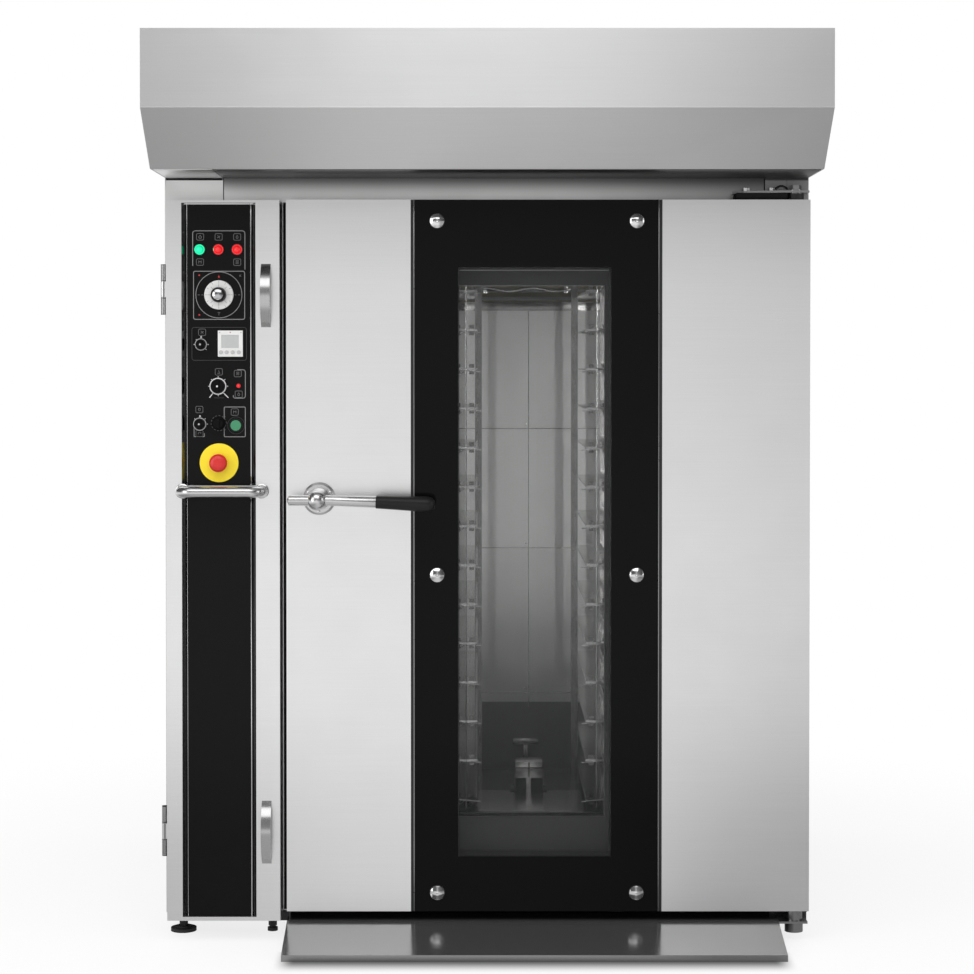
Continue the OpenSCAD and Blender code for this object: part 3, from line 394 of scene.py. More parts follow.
@dataclass(frozen=True)
class BrushedSteel:
    """Sheet steel with fine brush lines, faint clouds, handling marks and bands of painted shade.
    """

    name: str
    tone: Colour = (0.60, 0.60, 0.595)
    roughness: float = 0.3
    grain: Grain = Grain.ALONG_Z
    cloud: float = 0.05
    darken_below: float = 0.0
    matt_top: float = 0.0
    brush: float = 0.06
    metal: float = 1.0
    painted_shades: tuple[PaintedShade, ...] = ()
    line_share: float = 0.22
    low_colour: Colour = (0.13, 0.13, 0.13)
    low_share: float = 0.75
    matt_gain: float = 0.42

    def make(self) -> bpy.types.Material:
        """Builds the material.

        Returns:
            The new material.
        """
        graph = Graph(self.name)
        lines = graph.noise(self.grain.value, 2.0)
        clouds = graph.noise((1.6, 1.6, 1.1), 3.0)
        marks = graph.noise((9.0, 9.0, 12.0), 5.0, 0.7)
        tone = (lines - 0.5) * self.line_share + (clouds - 0.5) * self.cloud * 6.0 + 0.5
        dark, light = opaque(self.tone, 0.86), opaque(self.tone, 1.14)
        colour = graph.blend(tone.smooth(0.0, 1.0), dark, light)
        # Below a given height the colour is blended towards a darker grey.
        if self.darken_below > 0.0:
            height = graph.place()[2]
            dull = 1 - height.smooth(self.darken_below - 2 * MM, self.darken_below + 2 * MM)
            colour = graph.blend(dull * self.low_share, colour, opaque(self.low_colour))
        # Painted shade: each band blends the colour towards black, standing in for shadow and dim
        # reflections.
        for shade_band in self.painted_shades:
            colour = graph.blend(shade_band.amount(graph), colour, opaque(grey(0.0)))
        rough = (lines - 0.5) * self.brush + (marks - 0.5) * 0.08 + self.roughness
        if self.matt_top > 0.0:
            height = graph.place()[2]
            below = 1 - height.smooth(self.matt_top - MM, self.matt_top + MM)
            rough = rough + below * self.matt_gain
        normal = graph.bump(lines, 0.03, 0.1 * MM)
        return graph.finish(
            graph.surface(Base_Color=colour, Metallic=self.metal, Roughness=rough, Normal=normal)
        )


@dataclass(frozen=True)
class PolishedSteel:
    """Bright turned or drawn steel with a few rubbed marks."""

    name: str
    tone: Colour = (0.74, 0.74, 0.74)
    roughness: float = 0.12

    def make(self) -> bpy.types.Material:
        """Builds the material.

        Returns:
            The new material.
        """
        graph = Graph(self.name)
        rub = graph.noise((40.0, 40.0, 40.0), 4.0)
        colour = graph.blend(rub, opaque(self.tone, 0.92), opaque(self.tone, 1.05))
        rough = (rub - 0.5) * 0.05 + self.roughness
        normal = graph.bump(rub, 0.012, 0.2 * MM)
        return graph.finish(
            graph.surface(Base_Color=colour, Metallic=1.0, Roughness=rough, Normal=normal)
        )


@dataclass(frozen=True)
class Enamel:
    """Sprayed paint on metal: fine orange peel, dust and slight fading."""

    name: str
    colour: Colour
    roughness: float = 0.45
    metallic: float = 0.0

    def make(self) -> bpy.types.Material:
        """Builds the material.

        Returns:
            The new material.
        """
        graph = Graph(self.name)
        peel = graph.noise((420.0, 420.0, 420.0), 2.0)
        dust = graph.noise((9.0, 9.0, 6.0), 5.0, 0.7)
        dull, fresh = opaque(self.colour, 0.85), opaque(self.colour, 1.2)
        colour = graph.blend(dust.smooth(0.35, 0.75), dull, fresh)
        rough = (dust - 0.5) * 0.2 + self.roughness
        normal = graph.bump(peel, 0.08, 0.3 * MM)
        return graph.finish(
            graph.surface(
                Base_Color=colour, Metallic=self.metallic, Roughness=rough, Normal=normal
            )
        )


@dataclass(frozen=True)
class Moulding:
    """Moulded plastic or rubber with a fine spark-eroded grain."""

    name: str
    colour: Colour
    roughness: float = 0.4
    coat: float = 0.0
    glow: float = 0.0
    grain: float = 0.05
    gloss: float = 0.5

    def make(self) -> bpy.types.Material:
        """Builds the material.

        Returns:
            The new material.
        """
        graph = Graph(self.name)
        pores = graph.noise((900.0, 900.0, 900.0), 2.0)
        wear = graph.noise((30.0, 30.0, 30.0), 4.0)
        colour = graph.blend(wear, opaque(self.colour, 0.9), opaque(self.colour, 1.1))
        rough = (wear - 0.5) * 0.12 + self.roughness
        normal = graph.bump(pores, self.grain, 0.2 * MM)
        return graph.finish(
            graph.surface(
                Base_Color=colour,
                Roughness=rough,
                Coat_Weight=self.coat,
                Normal=normal,
                Emission_Color=opaque(self.colour),
                Emission_Strength=self.glow,
                Specular_IOR_Level=self.gloss,
            )
        )


@dataclass(frozen=True)
class SignalLens:
    """Pilot lenses of one moulding, green at the left of a place and red beyond it."""

    name: str
    split: float
    green: Colour = (0.005, 0.82, 0.40)
    red: Colour = (0.75, 0.012, 0.016)

    def make(self) -> bpy.types.Material:
        """Builds the material.

        Returns:
            The new material.
        """
        graph = Graph(self.name)
        x = graph.place()[0]
        ribs = graph.noise((700.0, 700.0, 700.0), 1.0)
        colour = graph.blend(x.above(self.split), opaque(self.green), opaque(self.red))
        normal = graph.bump(ribs, 0.1, 0.2 * MM)
        return graph.finish(
            graph.surface(
                Base_Color=colour,
                Roughness=0.25,
                Coat_Weight=0.4,
                Normal=normal,
                Emission_Color=colour,
                Emission_Strength=0.35,
            )
        )


@dataclass(frozen=True)
class PrintedGlass:
    """Clear glass with a black printed border round a window."""

    name: str
    low: Vector
    high: Vector
    haze: float = 0.16
    ink: Colour = (0.003, 0.003, 0.0033)
    film_tint: Colour = (0.05, 0.052, 0.052)

    def make(self) -> bpy.types.Material:
        """Builds the material.

        Returns:
            The new material.
        """
        graph = Graph(self.name)
        x, _, z = graph.place()
        across = x.above(self.low.x) * x.below(self.high.x)
        window = across * z.above(self.low.z) * z.below(self.high.z)
        film = graph.noise((5.0, 5.0, 3.0), 4.0)
        colour = graph.blend(window, opaque(self.ink), opaque(self.film_tint))
        clear = window * (1.0 - self.haze) * (0.97 + film * 0.06)
        rough = film * 0.05 + 0.06
        alpha = (1 - clear).smaller(1.0)
        return graph.finish(
            graph.surface(
                Base_Color=colour, Roughness=rough, Alpha=alpha, Specular_IOR_Level=0.08
            )
        )


@dataclass(frozen=True)
class MineralWool:
    """Fibrous slab."""

    name: str
    colour: Colour = (0.62, 0.57, 0.36)

    def make(self) -> bpy.types.Material:
        """Builds the material.

        Returns:
            The new material.
        """
        graph = Graph(self.name)
        fibre = graph.noise((140.0, 30.0, 500.0), 6.0, 0.75)
        lumps = graph.noise((25.0, 25.0, 25.0), 4.0)
        colour = graph.blend(fibre, opaque(self.colour, 0.6), opaque(self.colour, 1.25))
        normal = graph.bump(fibre + lumps, 0.7, 3 * MM)
        return graph.finish(graph.surface(Base_Color=colour, Roughness=0.95, Normal=normal))


class Finishes:
    """Every finish of the oven, made once and shared."""

    def __init__(self) -> None:
        """Builds the materials that don't depend on the frame's places."""
        # Painted shade: door_sheet darkens towards its top, from 1.46 m to 1.72 m, standing in for
        # the canopy's shadow and dim reflection.
        self.sheet = BrushedSteel(
            "door_sheet", grey(0.89), 0.30, Grain.ALONG_X, 0.03,
            painted_shades=(PaintedShade(Way.UP, Falloff(1.46, 1.72, 0.13)),),
        ).make()
        self.upright = BrushedSteel("casing_sheet", (0.80, 0.80, 0.795)).make()
        # Painted shade: canopy_sheet darkens towards both ends, standing in for light that falls
        # off away from the middle.
        self.canopy = BrushedSteel(
            "canopy_sheet", grey(0.96), 0.34, Grain.ALONG_X, 0.03, matt_top=1.888,
            painted_shades=(
                PaintedShade(Way.LEFT, Falloff(0.10, 0.85, 0.31)),
                PaintedShade(Way.RIGHT, Falloff(0.08, 0.85, 0.25)),
            ),
        ).make()
        # Painted shade: header_sheet darkens towards its top, standing in for the canopy's shadow,
        # and towards the right, where less light falls.
        self.header = BrushedSteel(
            "header_sheet", (0.72, 0.72, 0.715), 0.34, Grain.ALONG_X, 0.03,
            painted_shades=(
                PaintedShade(Way.UP, Falloff(1.724, 1.766, 0.75)),
                PaintedShade(Way.RIGHT, Falloff(0.10, 0.66, 0.50)),
            ),
        ).make()
        # Painted shade: ramp_plate darkens near the door, standing in for the dark gap under the
        # door and its reflection.
        self.ramp = BrushedSteel(
            "ramp_plate", grey(0.36), 0.15, Grain.ALONG_X, 0.02, brush=0.12, metal=0.87,
            painted_shades=(PaintedShade(Way.BACK, Falloff(-0.535, -0.495, 0.90)),),
        ).make()
        # Painted shade: the soffit tray's steel is near black, standing in for the shade under the
        # canopy.
        self.soffit = BrushedSteel("soffit_painted_shade", grey(0.13), 0.4, Grain.ALONG_X, 0.03).make()
        # Painted shade: header_end darkens towards the right, where less light falls.
        self.header_end = BrushedSteel(
            "header_end", (0.73, 0.73, 0.725), 0.34, Grain.ALONG_X, 0.03,
            painted_shades=(PaintedShade(Way.RIGHT, Falloff(0.2, 0.65, 0.60)),),
        ).make()
        self.bow = PolishedSteel("bow_handle", grey(0.50), 0.20).make()
        self.knob = Moulding("knob_plastic", grey(0.007), 0.5, grain=0.02, gloss=0.05).make()
        self.liner = BrushedSteel("chamber_sheet", (0.50, 0.50, 0.495), 0.42, cloud=0.06).make()
        self.rack = BrushedSteel("rack_tube", (0.70, 0.70, 0.69), 0.24, cloud=0.04).make()
        # Painted shade: a dark copy of the rack steel for the posts, standing in for their shade;
        # the same dark finish also serves the back wall's joints, the grille lip and the ledge
        # clips.
        self.shaded_post_and_joints = BrushedSteel("rack_post_shade_and_joints", (0.30, 0.30, 0.295), 0.24, cloud=0.04).make()
        self.polished = PolishedSteel("polished_steel").make()
        self.mirror = PolishedSteel("mirror_trim", grey(0.15), 0.06).make()
        self.dome = PolishedSteel("turned_dome", (0.50, 0.50, 0.51), 0.14).make()
        self.satin = PolishedSteel("satin_steel", grey(0.66), 0.26).make()
        self.hinge = PolishedSteel("hinge_steel", grey(0.36), 0.28).make()
        self.bright_ink = Moulding("bright_ink", grey(0.72), 0.45, grain=0.02).make()
        self.key = Moulding("grey_key", (0.42, 0.42, 0.43), 0.4, grain=0.02).make()
        self.dark_steel = Enamel("dark_paint", (0.035, 0.035, 0.037), 0.5, 0.3).make()
        self.motor = Enamel("motor_enamel", (0.05, 0.085, 0.13), 0.4).make()
        self.heater = PolishedSteel("element_sheath", (0.22, 0.17, 0.14), 0.45).make()
        self.wool = MineralWool("wool_slab").make()
        self.panel = Moulding(
            "gloss_panel", (0.005, 0.005, 0.0054), 0.22, grain=0.01, gloss=0.1
        ).make()
        self.black = Moulding("black_plastic", grey(0.012), 0.35, gloss=0.2).make()
        self.white = Moulding("white_plastic", (0.70, 0.70, 0.69), 0.35).make()
        self.grey = Moulding("display_grey", (0.44, 0.45, 0.45), 0.25, grain=0.01).make()
        self.ink = Moulding("pale_ink", grey(0.24), 0.5, grain=0.02).make()
        self.soft_ink = Moulding("soft_ink", grey(0.12), 0.5, grain=0.02).make()
        self.faint_ink = Moulding("faint_ink", (0.030, 0.030, 0.031), 0.5, grain=0.02).make()
        self.red_ink = Moulding("red_ink", (0.45, 0.02, 0.015), 0.5).make()
        self.yellow = Moulding("yellow_plate", (0.93, 0.72, 0.018), 0.4).make()
        self.red = Moulding("red_mushroom", (0.60, 0.020, 0.016), 0.35).make()
        self.green = Moulding("green_button", (0.045, 0.24, 0.115), 0.35).make()
        self.seal = Moulding("seal_rubber", grey(0.012), 0.7, grain=0.3).make()
        self.foot = Moulding("foot_rubber", grey(0.02), 0.6, grain=0.3).make()
        self.wheel = Moulding("wheel_resin", (0.03, 0.028, 0.026), 0.5, grain=0.1).make()
        # Near black: the retaining spring and the bracket block, and painted shade in the header's
        # gaps.
        self.shadow = Moulding("black_and_gap_shade", grey(0.004), 0.8).make()


# -------------------------------------------------------------------- mesh stock


SCREW_HEAD = (
    (0.0, 0.0), (1.0, 0.0), (0.95, 0.3), (0.6, 0.5), (0.25, 0.55), (0.2, 0.4), (0.0, 0.4)
)


def scaled(profile: Iterable[Point], across: float, along: float | None = None) -> list[Point]:
    """Sizes the profile of a turned form.

    Args:
        profile: points of radius and height in a unit.
        across: metres to that unit.
        along: metres to the unit of the heights, the same where it isn't given.

    Returns:
        Points of radius and height in metres.
    """
    lift = across if along is None else along
    return [(radius * across, height * lift) for radius, height in profile]


def near(corner: Sequence[float], x: float, y: float, z: float) -> Vector:
    """Point beside a corner, at a distance given in millimetres."""
    return Vector(corner) + Vector((x, y, z)) * MM


class Stock:
    """Raw mesh that is worked into one piece."""

    def __init__(self) -> None:
        """Starts an empty mesh."""
        self.mesh = bmesh.new()

    def block(self, low: Sequence[float], high: Sequence[float], edge: float = 0.0) -> "Stock":
        """Adds a box between two corners.

        Args:
            low: lowest corner.
            high: highest corner.
            edge: width of the rounding of its edges.

        Returns:
            The stock, for the next step.
        """
        first, last = Vector(low), Vector(high)
        size = last - first
        matrix = Matrix.Translation((first + last) / 2) @ Matrix.Diagonal((*size, 1.0))
        made = bmesh.ops.create_cube(self.mesh, size=1.0, matrix=matrix)["verts"]
        self._round(made, edge)
        return self

    def _round(self, verts: Iterable[bmesh.types.BMVert], edge: float) -> None:
        """Rounds the edges of freshly made vertices.

        Args:
            verts: the new vertices.
            edge: width of the rounding, 0 for none.
        """
        if edge <= 0.0:
            return
        edges = list({e for v in verts for e in v.link_edges})
        bmesh.ops.bevel(
            self.mesh, geom=edges, offset=edge, segments=2, affect="EDGES", profile=0.5, material=-1
        )

    def _thicken(self, faces: Sequence[bmesh.types.BMFace], shift: Triple) -> "Stock":
        """Gives flat faces a thickness.

        Args:
            faces: the flat faces.
            shift: way from them to the other side.

        Returns:
            The stock, for the next step.
        """
        made = bmesh.ops.extrude_face_region(self.mesh, geom=faces)["geom"]
        moved = [item for item in made if isinstance(item, bmesh.types.BMVert)]
        bmesh.ops.translate(self.mesh, verts=moved, vec=shift)
        return self

    def rod(
        self,
        start: Sequence[float],
        end: Sequence[float],
        radius: float,
        steps: int = 32,
        tip: float | None = None,
    ) -> "Stock":
        """Adds a round bar or a cone between two points.

        Args:
            start: middle of the first end.
            end: middle of the second end.
            radius: radius at the first end.
            steps: sides of the bar.
            tip: radius at the second end, the same where it isn't given.

        Returns:
            The stock, for the next step.
        """
        first, last = Vector(start), Vector(end)
        turn = (last - first).to_track_quat("Z", "Y").to_matrix().to_4x4()
        bmesh.ops.create_cone(
            self.mesh,
            cap_ends=True,
            segments=steps,
            radius1=radius,
            radius2=radius if tip is None else tip,
            depth=(last - first).length,
            matrix=Matrix.Translation((first + last) / 2) @ turn,
        )
        return self

    def lathe(
        self,
        foot: Sequence[float],
        axis: Sequence[float],
        profile: Sequence[Point],
        steps: int = 48,
    ) -> "Stock":
        """Turns a profile round an axis.

        Args:
            foot: point of the axis where the profile's heights start.
            axis: direction of the axis.
            profile: points of radius and height.
            steps: sides of the turned form.

        Returns:
            The stock, for the next step.
        """
        verts = [self.mesh.verts.new((radius, 0.0, height)) for radius, height in profile]
        edges = [self.mesh.edges.new(pair) for pair in zip(verts, verts[1:])]
        before = set(self.mesh.verts) - set(verts)
        bmesh.ops.spin(
            self.mesh,
            geom=verts + edges,
            cent=(0, 0, 0),
            axis=(0, 0, 1),
            angle=math.tau,
            steps=steps,
            use_merge=True,
            use_duplicate=False,
        )
        made = [v for v in self.mesh.verts if v not in before]
        bmesh.ops.remove_doubles(self.mesh, verts=made, dist=1e-6)
        made = [v for v in self.mesh.verts if v not in before]
        turn = Vector(axis).to_track_quat("Z", "Y").to_matrix().to_4x4()
        bmesh.ops.transform(self.mesh, matrix=Matrix.Translation(Vector(foot)) @ turn, verts=made)
        return self

    def screw(self, foot: Sequence[float], axis: Sequence[float], radius: float) -> "Stock":
        """Adds a domed screw head that stands on a face."""
        return self.lathe(foot, axis, scaled(SCREW_HEAD, radius), 14)

    def wire(self, points: Sequence[Sequence[float]], radius: float) -> "Stock":
        """Bends a round wire through several points.

        Args:
            points: points on its middle line.
            radius: radius of the wire.

        Returns:
            The stock, for the next step.
        """
        for start, end in zip(points, points[1:]):
            self.rod(start, end, radius, 12)
        return self

    def bar(self, outline: Sequence[Point], low: float, high: float) -> "Stock":
        """Stands an outline upright between two heights.

        Args:
            outline: points of X and Y.
            low: height of its foot.
            high: height of its top.

        Returns:
            The stock, for the next step.
        """
        face = self.mesh.faces.new([self.mesh.verts.new((x, y, low)) for x, y in outline])
        return self._thicken([face], (0.0, 0.0, high - low))

    def sheet(self, outline: Sequence[Point], depth: float, front: float) -> "Stock":
        """Cuts a flat plate that stands upright and faces the front.

        Args:
            outline: points of X and Z round the plate.
            depth: thickness, towards the back.
            front: Y of its front face.

        Returns:
            The stock, for the next step.
        """
        face = self.mesh.faces.new([self.mesh.verts.new((x, front, z)) for x, z in outline])
        return self._thicken([face], (0.0, depth, 0.0))

    def band(
        self, outer: Sequence[Point], inner: Sequence[Point], depth: float, front: float
    ) -> "Stock":
        """Lays a flat band between two upright outlines with the same number of points.

        Args:
            outer: points of X and Z round the outside.
            inner: points of X and Z round the inside.
            depth: thickness, towards the back.
            front: Y of its front face.

        Returns:
            The stock, for the next step.
        """
        rims = []
        for outline in (outer, inner):
            verts = [self.mesh.verts.new((x, front, z)) for x, z in outline]
            rims += [self.mesh.edges.new((a, b)) for a, b in zip(verts, verts[1:] + verts[:1])]
        faces = bmesh.ops.bridge_loops(self.mesh, edges=rims)["faces"]
        return self._thicken(faces, (0.0, depth, 0.0))

    def piece(
        self, name: str, body: Body, finish: bpy.types.Material, slot: Slot, sharp: float = 35.0
    ) -> bpy.types.Object:
        """Closes the work and hands over the piece.

        Args:
            name: name of the piece.
            body: body that it rides on.
            finish: its material.
            slot: the record's slot of that finish; not used.
            sharp: edges over this angle stay sharp, in degrees.

        Returns:
            The new object.
        """
        bmesh.ops.recalc_face_normals(self.mesh, faces=self.mesh.faces)
        data = bpy.data.meshes.new(name)
        self.mesh.to_mesh(data)
        self.mesh.free()
        data.shade_smooth()
        data.set_sharp_from_angle(angle=math.radians(sharp))
        made = bpy.data.objects.new(name, data)
        bpy.context.collection.objects.link(made)
        made.data.materials.append(finish)
        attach(made, body.value)
        LOG.info("%s: %d faces", name, len(data.polygons))
        return made


def arc(centre: Point, radius: float, start: float, end: float, steps: int) -> list[Point]:
    """Points along an arc.

    Args:
        centre: X and Z of its centre.
        radius: its radius.
        start: first angle in degrees.
        end: last angle in degrees.
        steps: stretches between the points.

    Returns:
        Points of X and Z, the last one included.
    """
    angles = [math.radians(start + (end - start) * i / steps) for i in range(steps + 1)]
    return [(centre[0] + radius * math.cos(a), centre[1] + radius * math.sin(a)) for a in angles]


def rounded(centre: Point, width: float, height: float, radius: float) -> list[Point]:
    """Outline of a rectangle with round corners.

    Args:
        centre: X and Z of its middle.
        width: length along X.
        height: length along Z.
        radius: radius of its corners.

    Returns:
        Points of X and Z.
    """
    corners = ((1, 1, 0), (-1, 1, 90), (-1, -1, 180), (1, -1, 270))
    outline: list[Point] = []
    for side, rise, angle in corners:
        middle = (
            centre[0] + side * (width / 2 - radius),
            centre[1] + rise * (height / 2 - radius),
        )
        outline += arc(middle, radius, angle, angle + 90, 5)
    return outline


def circle(centre: Point, radius: float, steps: int = 48, first: float = 0.0) -> list[Point]:
    """Points round a circle, from a first angle in degrees."""
    return arc(centre, radius, first, first + 360 - 360 / steps, steps - 1)


class Sign(Enum):
    """Plain pictograms of the panel, as strokes in a square from -1 to 1."""

    FLAME = (((-0.5, -0.7), (-0.7, 0.0), (0.0, 0.8), (0.7, 0.0), (0.5, -0.7), (-0.5, -0.7)),)
    DROP = (((0.0, 0.8), (-0.5, -0.1), (-0.3, -0.7), (0.3, -0.7), (0.5, -0.1), (0.0, 0.8)),)
    WAVES = (
        ((-0.7, 0.5), (-0.2, 0.8), (0.2, 0.5), (0.7, 0.8)),
        ((-0.7, -0.1), (-0.2, 0.2), (0.2, -0.1), (0.7, 0.2)),
        ((-0.7, -0.7), (-0.2, -0.4), (0.2, -0.7), (0.7, -0.4)),
    )
    FAN = (((-0.6, 0.7), (0.1, 0.2), (0.6, -0.7)), ((-0.7, -0.5), (0.0, -0.1), (0.7, 0.5)))
    CLOCK = (((0.0, 0.7), (0.0, 0.0), (0.5, -0.3)), ((-0.7, -0.7), (0.7, -0.7)))
    RACK = (((-0.6, 0.7), (-0.6, -0.7)), ((0.6, 0.7), (0.6, -0.7)), ((-0.6, 0.2), (0.6, 0.2)))
    LIGHT = (
        ((-0.4, 0.6), (0.4, 0.6), (0.5, 0.0), (0.2, -0.6), (-0.2, -0.6), (-0.5, 0.0), (-0.4, 0.6)),
    )
    TURN = (
        ((-0.6, -0.4), (-0.5, 0.5), (0.3, 0.7), (0.7, 0.1)),
        ((0.3, 0.2), (0.7, 0.1), (0.8, 0.5)),
    )


class Print(Stock):
    """Thin printed lines on an upright face."""

    def __init__(self, face: float, line: float = 1.3 * MM, thick: float = 0.15 * MM) -> None:
        """Starts an empty print.

        Args:
            face: Y of the face that carries the print.
            line: width of its lines.
            thick: thickness of the ink.
        """
        super().__init__()
        self.front = face - thick
        self.thick = thick
        self.line = line

    def frame(self, centre: Point, width: float, height: float, radius: float) -> "Print":
        """Prints a rectangle with round corners.

        Args:
            centre: X and Z of its middle.
            width: length along X.
            height: length along Z.
            radius: radius of its corners.

        Returns:
            The print, for the next line.
        """
        line = self.line
        outer = rounded(centre, width, height, radius)
        inner = rounded(centre, width - 2 * line, height - 2 * line, max(radius - line, 0.2 * MM))
        self.band(outer, inner, self.thick, self.front)
        return self

    def ring(self, centre: Point, radius: float, line: float | None = None) -> "Print":
        """Prints a circle.

        Args:
            centre: X and Z of its middle.
            radius: outer radius.
            line: width of the line, the print's own where it isn't given.

        Returns:
            The print, for the next line.
        """
        width = self.line if line is None else line
        inner = circle(centre, radius - width)
        self.band(circle(centre, radius), inner, self.thick, self.front)
        return self

    def dot(self, centre: Point, radius: float) -> "Print":
        """Prints a filled spot."""
        self.sheet(circle(centre, radius, 16), self.thick, self.front)
        return self

    def stroke(self, start: Point, end: Point, line: float | None = None) -> "Print":
        """Prints a straight line.

        Args:
            start: X and Z of its start.
            end: X and Z of its end.
            line: width of the line, the print's own where it isn't given.

        Returns:
            The print, for the next line.
        """
        half = (self.line if line is None else line) / 2
        run = Vector(end) - Vector(start)
        side = Vector((-run.y, run.x)).normalized() * half
        first, last = Vector(start), Vector(end)
        corners = (first + side, last + side, last - side, first - side)
        self.sheet([(c.x, c.y) for c in corners], self.thick, self.front)
        return self

    def route(self, points: Sequence[Point], line: float | None = None) -> "Print":
        """Prints a line through several points.

        Args:
            points: X and Z of each point.
            line: width of the line, the print's own where it isn't given.

        Returns:
            The print, for the next line.
        """
        for first, last in zip(points, points[1:]):
            self.stroke(first, last, line)
        return self

    def sign(self, centre: Point, sign: Sign, width: float = 17.5 * MM) -> "Print":
        """Prints a pictogram in a small rounded frame.

        Args:
            centre: X and Z of its middle.
            sign: the pictogram.
            width: width of the frame.

        Returns:
            The print, for the next line.
        """
        self.frame(centre, width, width * 0.92, width * 0.2)
        reach = width * 0.27
        for stroke in sign.value:
            self.route([(centre[0] + x * reach, centre[1] + y * reach) for x, y in stroke])
        return self

    def dashes(self, centre: Point, radius: float, count: int, share: float) -> "Print":
        """Prints a circle of dashes.

        Args:
            centre: X and Z of its middle.
            radius: radius of the circle.
            count: number of dashes.
            share: printed part of each step.

        Returns:
            The print, for the next line.
        """
        step = 360 / count
        for i in range(count):
            self.route(arc(centre, radius, i * step, (i + share) * step, 2))
        return self

    def ticks(self, centre: Point, inner: float, outer: float, angles: Iterable[float]) -> "Print":
        """Prints short strokes round a centre.

        Args:
            centre: X and Z of the middle.
            inner: radius where the strokes start.
            outer: radius where they end.
            angles: their angles in degrees.

        Returns:
            The print, for the next line.
        """
        for angle in angles:
            turn = math.radians(angle)
            way = (math.cos(turn), math.sin(turn))
            start = (centre[0] + inner * way[0], centre[1] + inner * way[1])
            end = (centre[0] + outer * way[0], centre[1] + outer * way[1])
            self.stroke(start, end)
        return self


def dress(nodes: Iterable[str], finish: bpy.types.Material, frame: Mapping[str, object]) -> None:
    """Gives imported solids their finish.

    Args:
        nodes: names of the solids' nodes.
        finish: their material.
    """
    for name in nodes:
        data = frame["nodes"][name].data
        data.materials.clear()
        data.materials.append(finish)
        LOG.info("%s: %s", name, finish.name)


# ------------------------------------------------------------------------ studio


@dataclass(frozen=True)
class SoftBox:
    """Area lamp: its middle, the point it faces, its width and height, and its watts."""

    name: str
    place: Triple
    aim: Triple
    size: Point
    power: float

    def hang(self) -> None:
        """Adds the lamp to the scene."""
        data = bpy.data.lights.new(self.name, "AREA")
        data.shape = "RECTANGLE"
        data.size, data.size_y = self.size
        data.energy = self.power
        lamp = bpy.data.objects.new(self.name, data)
        bpy.context.collection.objects.link(lamp)
        lamp.location = self.place
        way = Vector(self.aim) - Vector(self.place)
        lamp.rotation_euler = way.to_track_quat("-Z", "Y").to_euler()


OVEN_MIDDLE = (0.0, 0.0, 1.0)
CHAMBER_MIDDLE = (0.108, 0.48, 1.22)
WHITE = grey(1.0)


